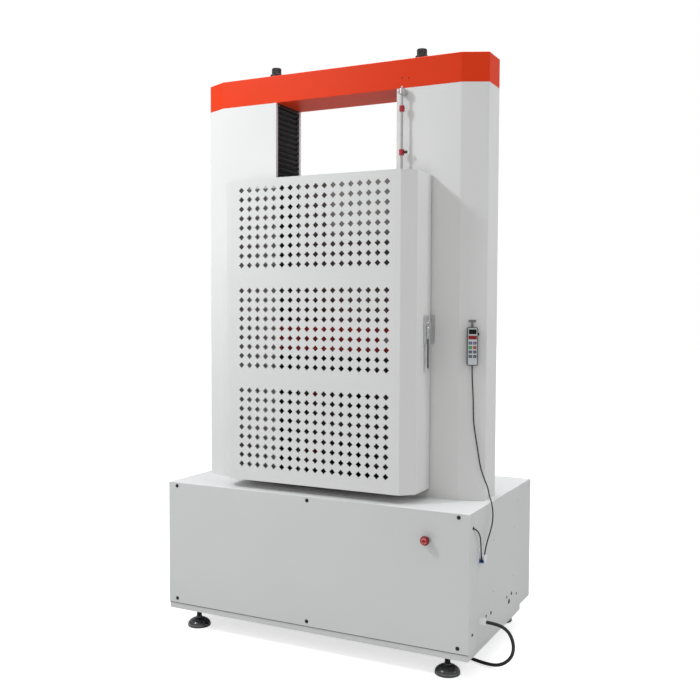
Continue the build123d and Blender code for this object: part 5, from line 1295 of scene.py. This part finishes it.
class MACHINE_OT_load_string(bpy.types.Operator):
    """Crosshead, load cell, adapters, wedge grips, jaws and levers"""

    bl_idname = "machine.load_string"
    bl_label = "Crosshead and grips"

    def execute(self, context):
        # The crosshead's darker red is painted shade.
        softened("crosshead", "crosshead_paint", 0.0015, "crosshead")
        painted("turned_steel", "crosshead_inserts")
        for node in ("load_cell", "upper_adapter", "upper_grip_body"):
            softened(node, "black_oxide", 0.0014, "crosshead")
        for node in ("lower_adapter", "lower_grip_body"):
            softened(node, "black_oxide", 0.0014)
        for level in ("upper", "lower"):
            for side in ("right", "left"):
                node = f"{level}_jaw_{side}"
                softened(node, "jaw_steel", 0.0008, body=node)
            self.lever(level)
        return {"FINISHED"}

    def lever(self, level):
        """Clamping lever: turned hub, flat arm and a red ball knob."""
        low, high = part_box(f"{level}_grip_lever")
        hub_radius, knob_radius = 0.015, 0.014
        down = -1 if level == "upper" else 1
        hub = Vector((high.x - hub_radius, high.y, high.z - hub_radius if down < 0 else low.z + hub_radius))
        knob = Vector((low.x + knob_radius, 0, low.z + knob_radius if down < 0 else high.z - knob_radius))
        face = hub.y - 0.014
        lever = Piece(f"{level}_lever_arm", "turned_steel", "stop_red", "black_oxide")
        boss = [(0, 0), (0.0146, 0), (0.0150, 0.0006), (0.0150, 0.0128), (0.0138, 0.0140), (0.0080, 0.0140),
                (0, 0.0140)]
        lever.turned(boss, hub, FORWARD, 36)
        button_head(lever, (hub.x, face, hub.z), FORWARD, 0.0062, 2, 2)
        reach = Vector((knob.x - hub.x, 0, knob.z - hub.z))
        lean = Vector(RIGHT).rotation_difference(reach).to_matrix().to_4x4()
        halfway = Vector(((knob.x + hub.x) / 2, face + 0.004, (knob.z + hub.z) / 2))
        lever.block((reach.length - 0.012, 0.0078, 0.0118), halfway, 0.0014, lean)
        angles = [math.pi * step / 14 for step in range(1, 14)]
        ball = [(math.sin(angle) * knob_radius, -math.cos(angle) * knob_radius) for angle in angles]
        ball = [(0, -knob_radius), *ball, (0, knob_radius)]
        lever.turned(ball, (knob.x, face + 0.004, knob.z), reach, 28, look=1)
        lever.done(f"{level}_lever", "red_plastic", f"{level}_grip_lever")


class MACHINE_OT_drive(bpy.types.Operator):
    """Ball screws, pulleys, belt, motor and drive unit inside the covers"""

    bl_idname = "machine.drive"
    bl_label = "Drive"

    def execute(self, context):
        painted("left_screw_steel", "left_ball_screw")
        painted("right_screw_steel", "right_ball_screw")
        painted("belt_rubber", "drive_belt")
        painted("aluminium", "motor_pulley")
        softened("drive_unit", "aluminium", 0.0015)
        softened("servo_motor", "black_oxide", 0.0020)
        return {"FINISHED"}


class MACHINE_PT_sidebar(bpy.types.Panel):
    """The machine's settings and the steps that dress it"""

    bl_label = "Testing Machine"
    bl_idname = "MACHINE_PT_sidebar"
    bl_space_type = "VIEW_3D"
    bl_region_type = "UI"
    bl_category = "Testing Machine"

    def draw(self, context):
        settings = context.scene.testing_machine
        for group in (settings.colours, settings.sizes, settings.studio):
            box = self.layout.box()
            for name in group.__annotations__:
                box.prop(group, name)
        for step in STEPS:
            self.layout.operator(step.bl_idname)


STEPS = (
    MACHINE_OT_studio, MACHINE_OT_cords, MACHINE_OT_bellows, MACHINE_OT_cabinet, MACHINE_OT_side_fittings,
    MACHINE_OT_columns, MACHINE_OT_guard_door, MACHINE_OT_limit_rod, MACHINE_OT_handset, MACHINE_OT_stop_button,
    MACHINE_OT_load_string, MACHINE_OT_drive,
)
CLASSES = (MachineColours, FittingSizes, StudioSettings, MachineSettings, *STEPS, MACHINE_PT_sidebar)


def register():
    """Adds the classes and the scene's settings."""
    for entry in CLASSES:
        bpy.utils.register_class(entry)
    bpy.types.Scene.testing_machine = PointerProperty(type=MachineSettings)


def unregister():
    """Takes them away again."""
    del bpy.types.Scene.testing_machine
    for entry in reversed(CLASSES):
        bpy.utils.unregister_class(entry)


def main():
    """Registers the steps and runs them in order."""
    register()
    for step in STEPS:
        group, name = step.bl_idname.split(".")
        getattr(getattr(bpy.ops, group), name)()


if __name__ == "__main__":
    main()
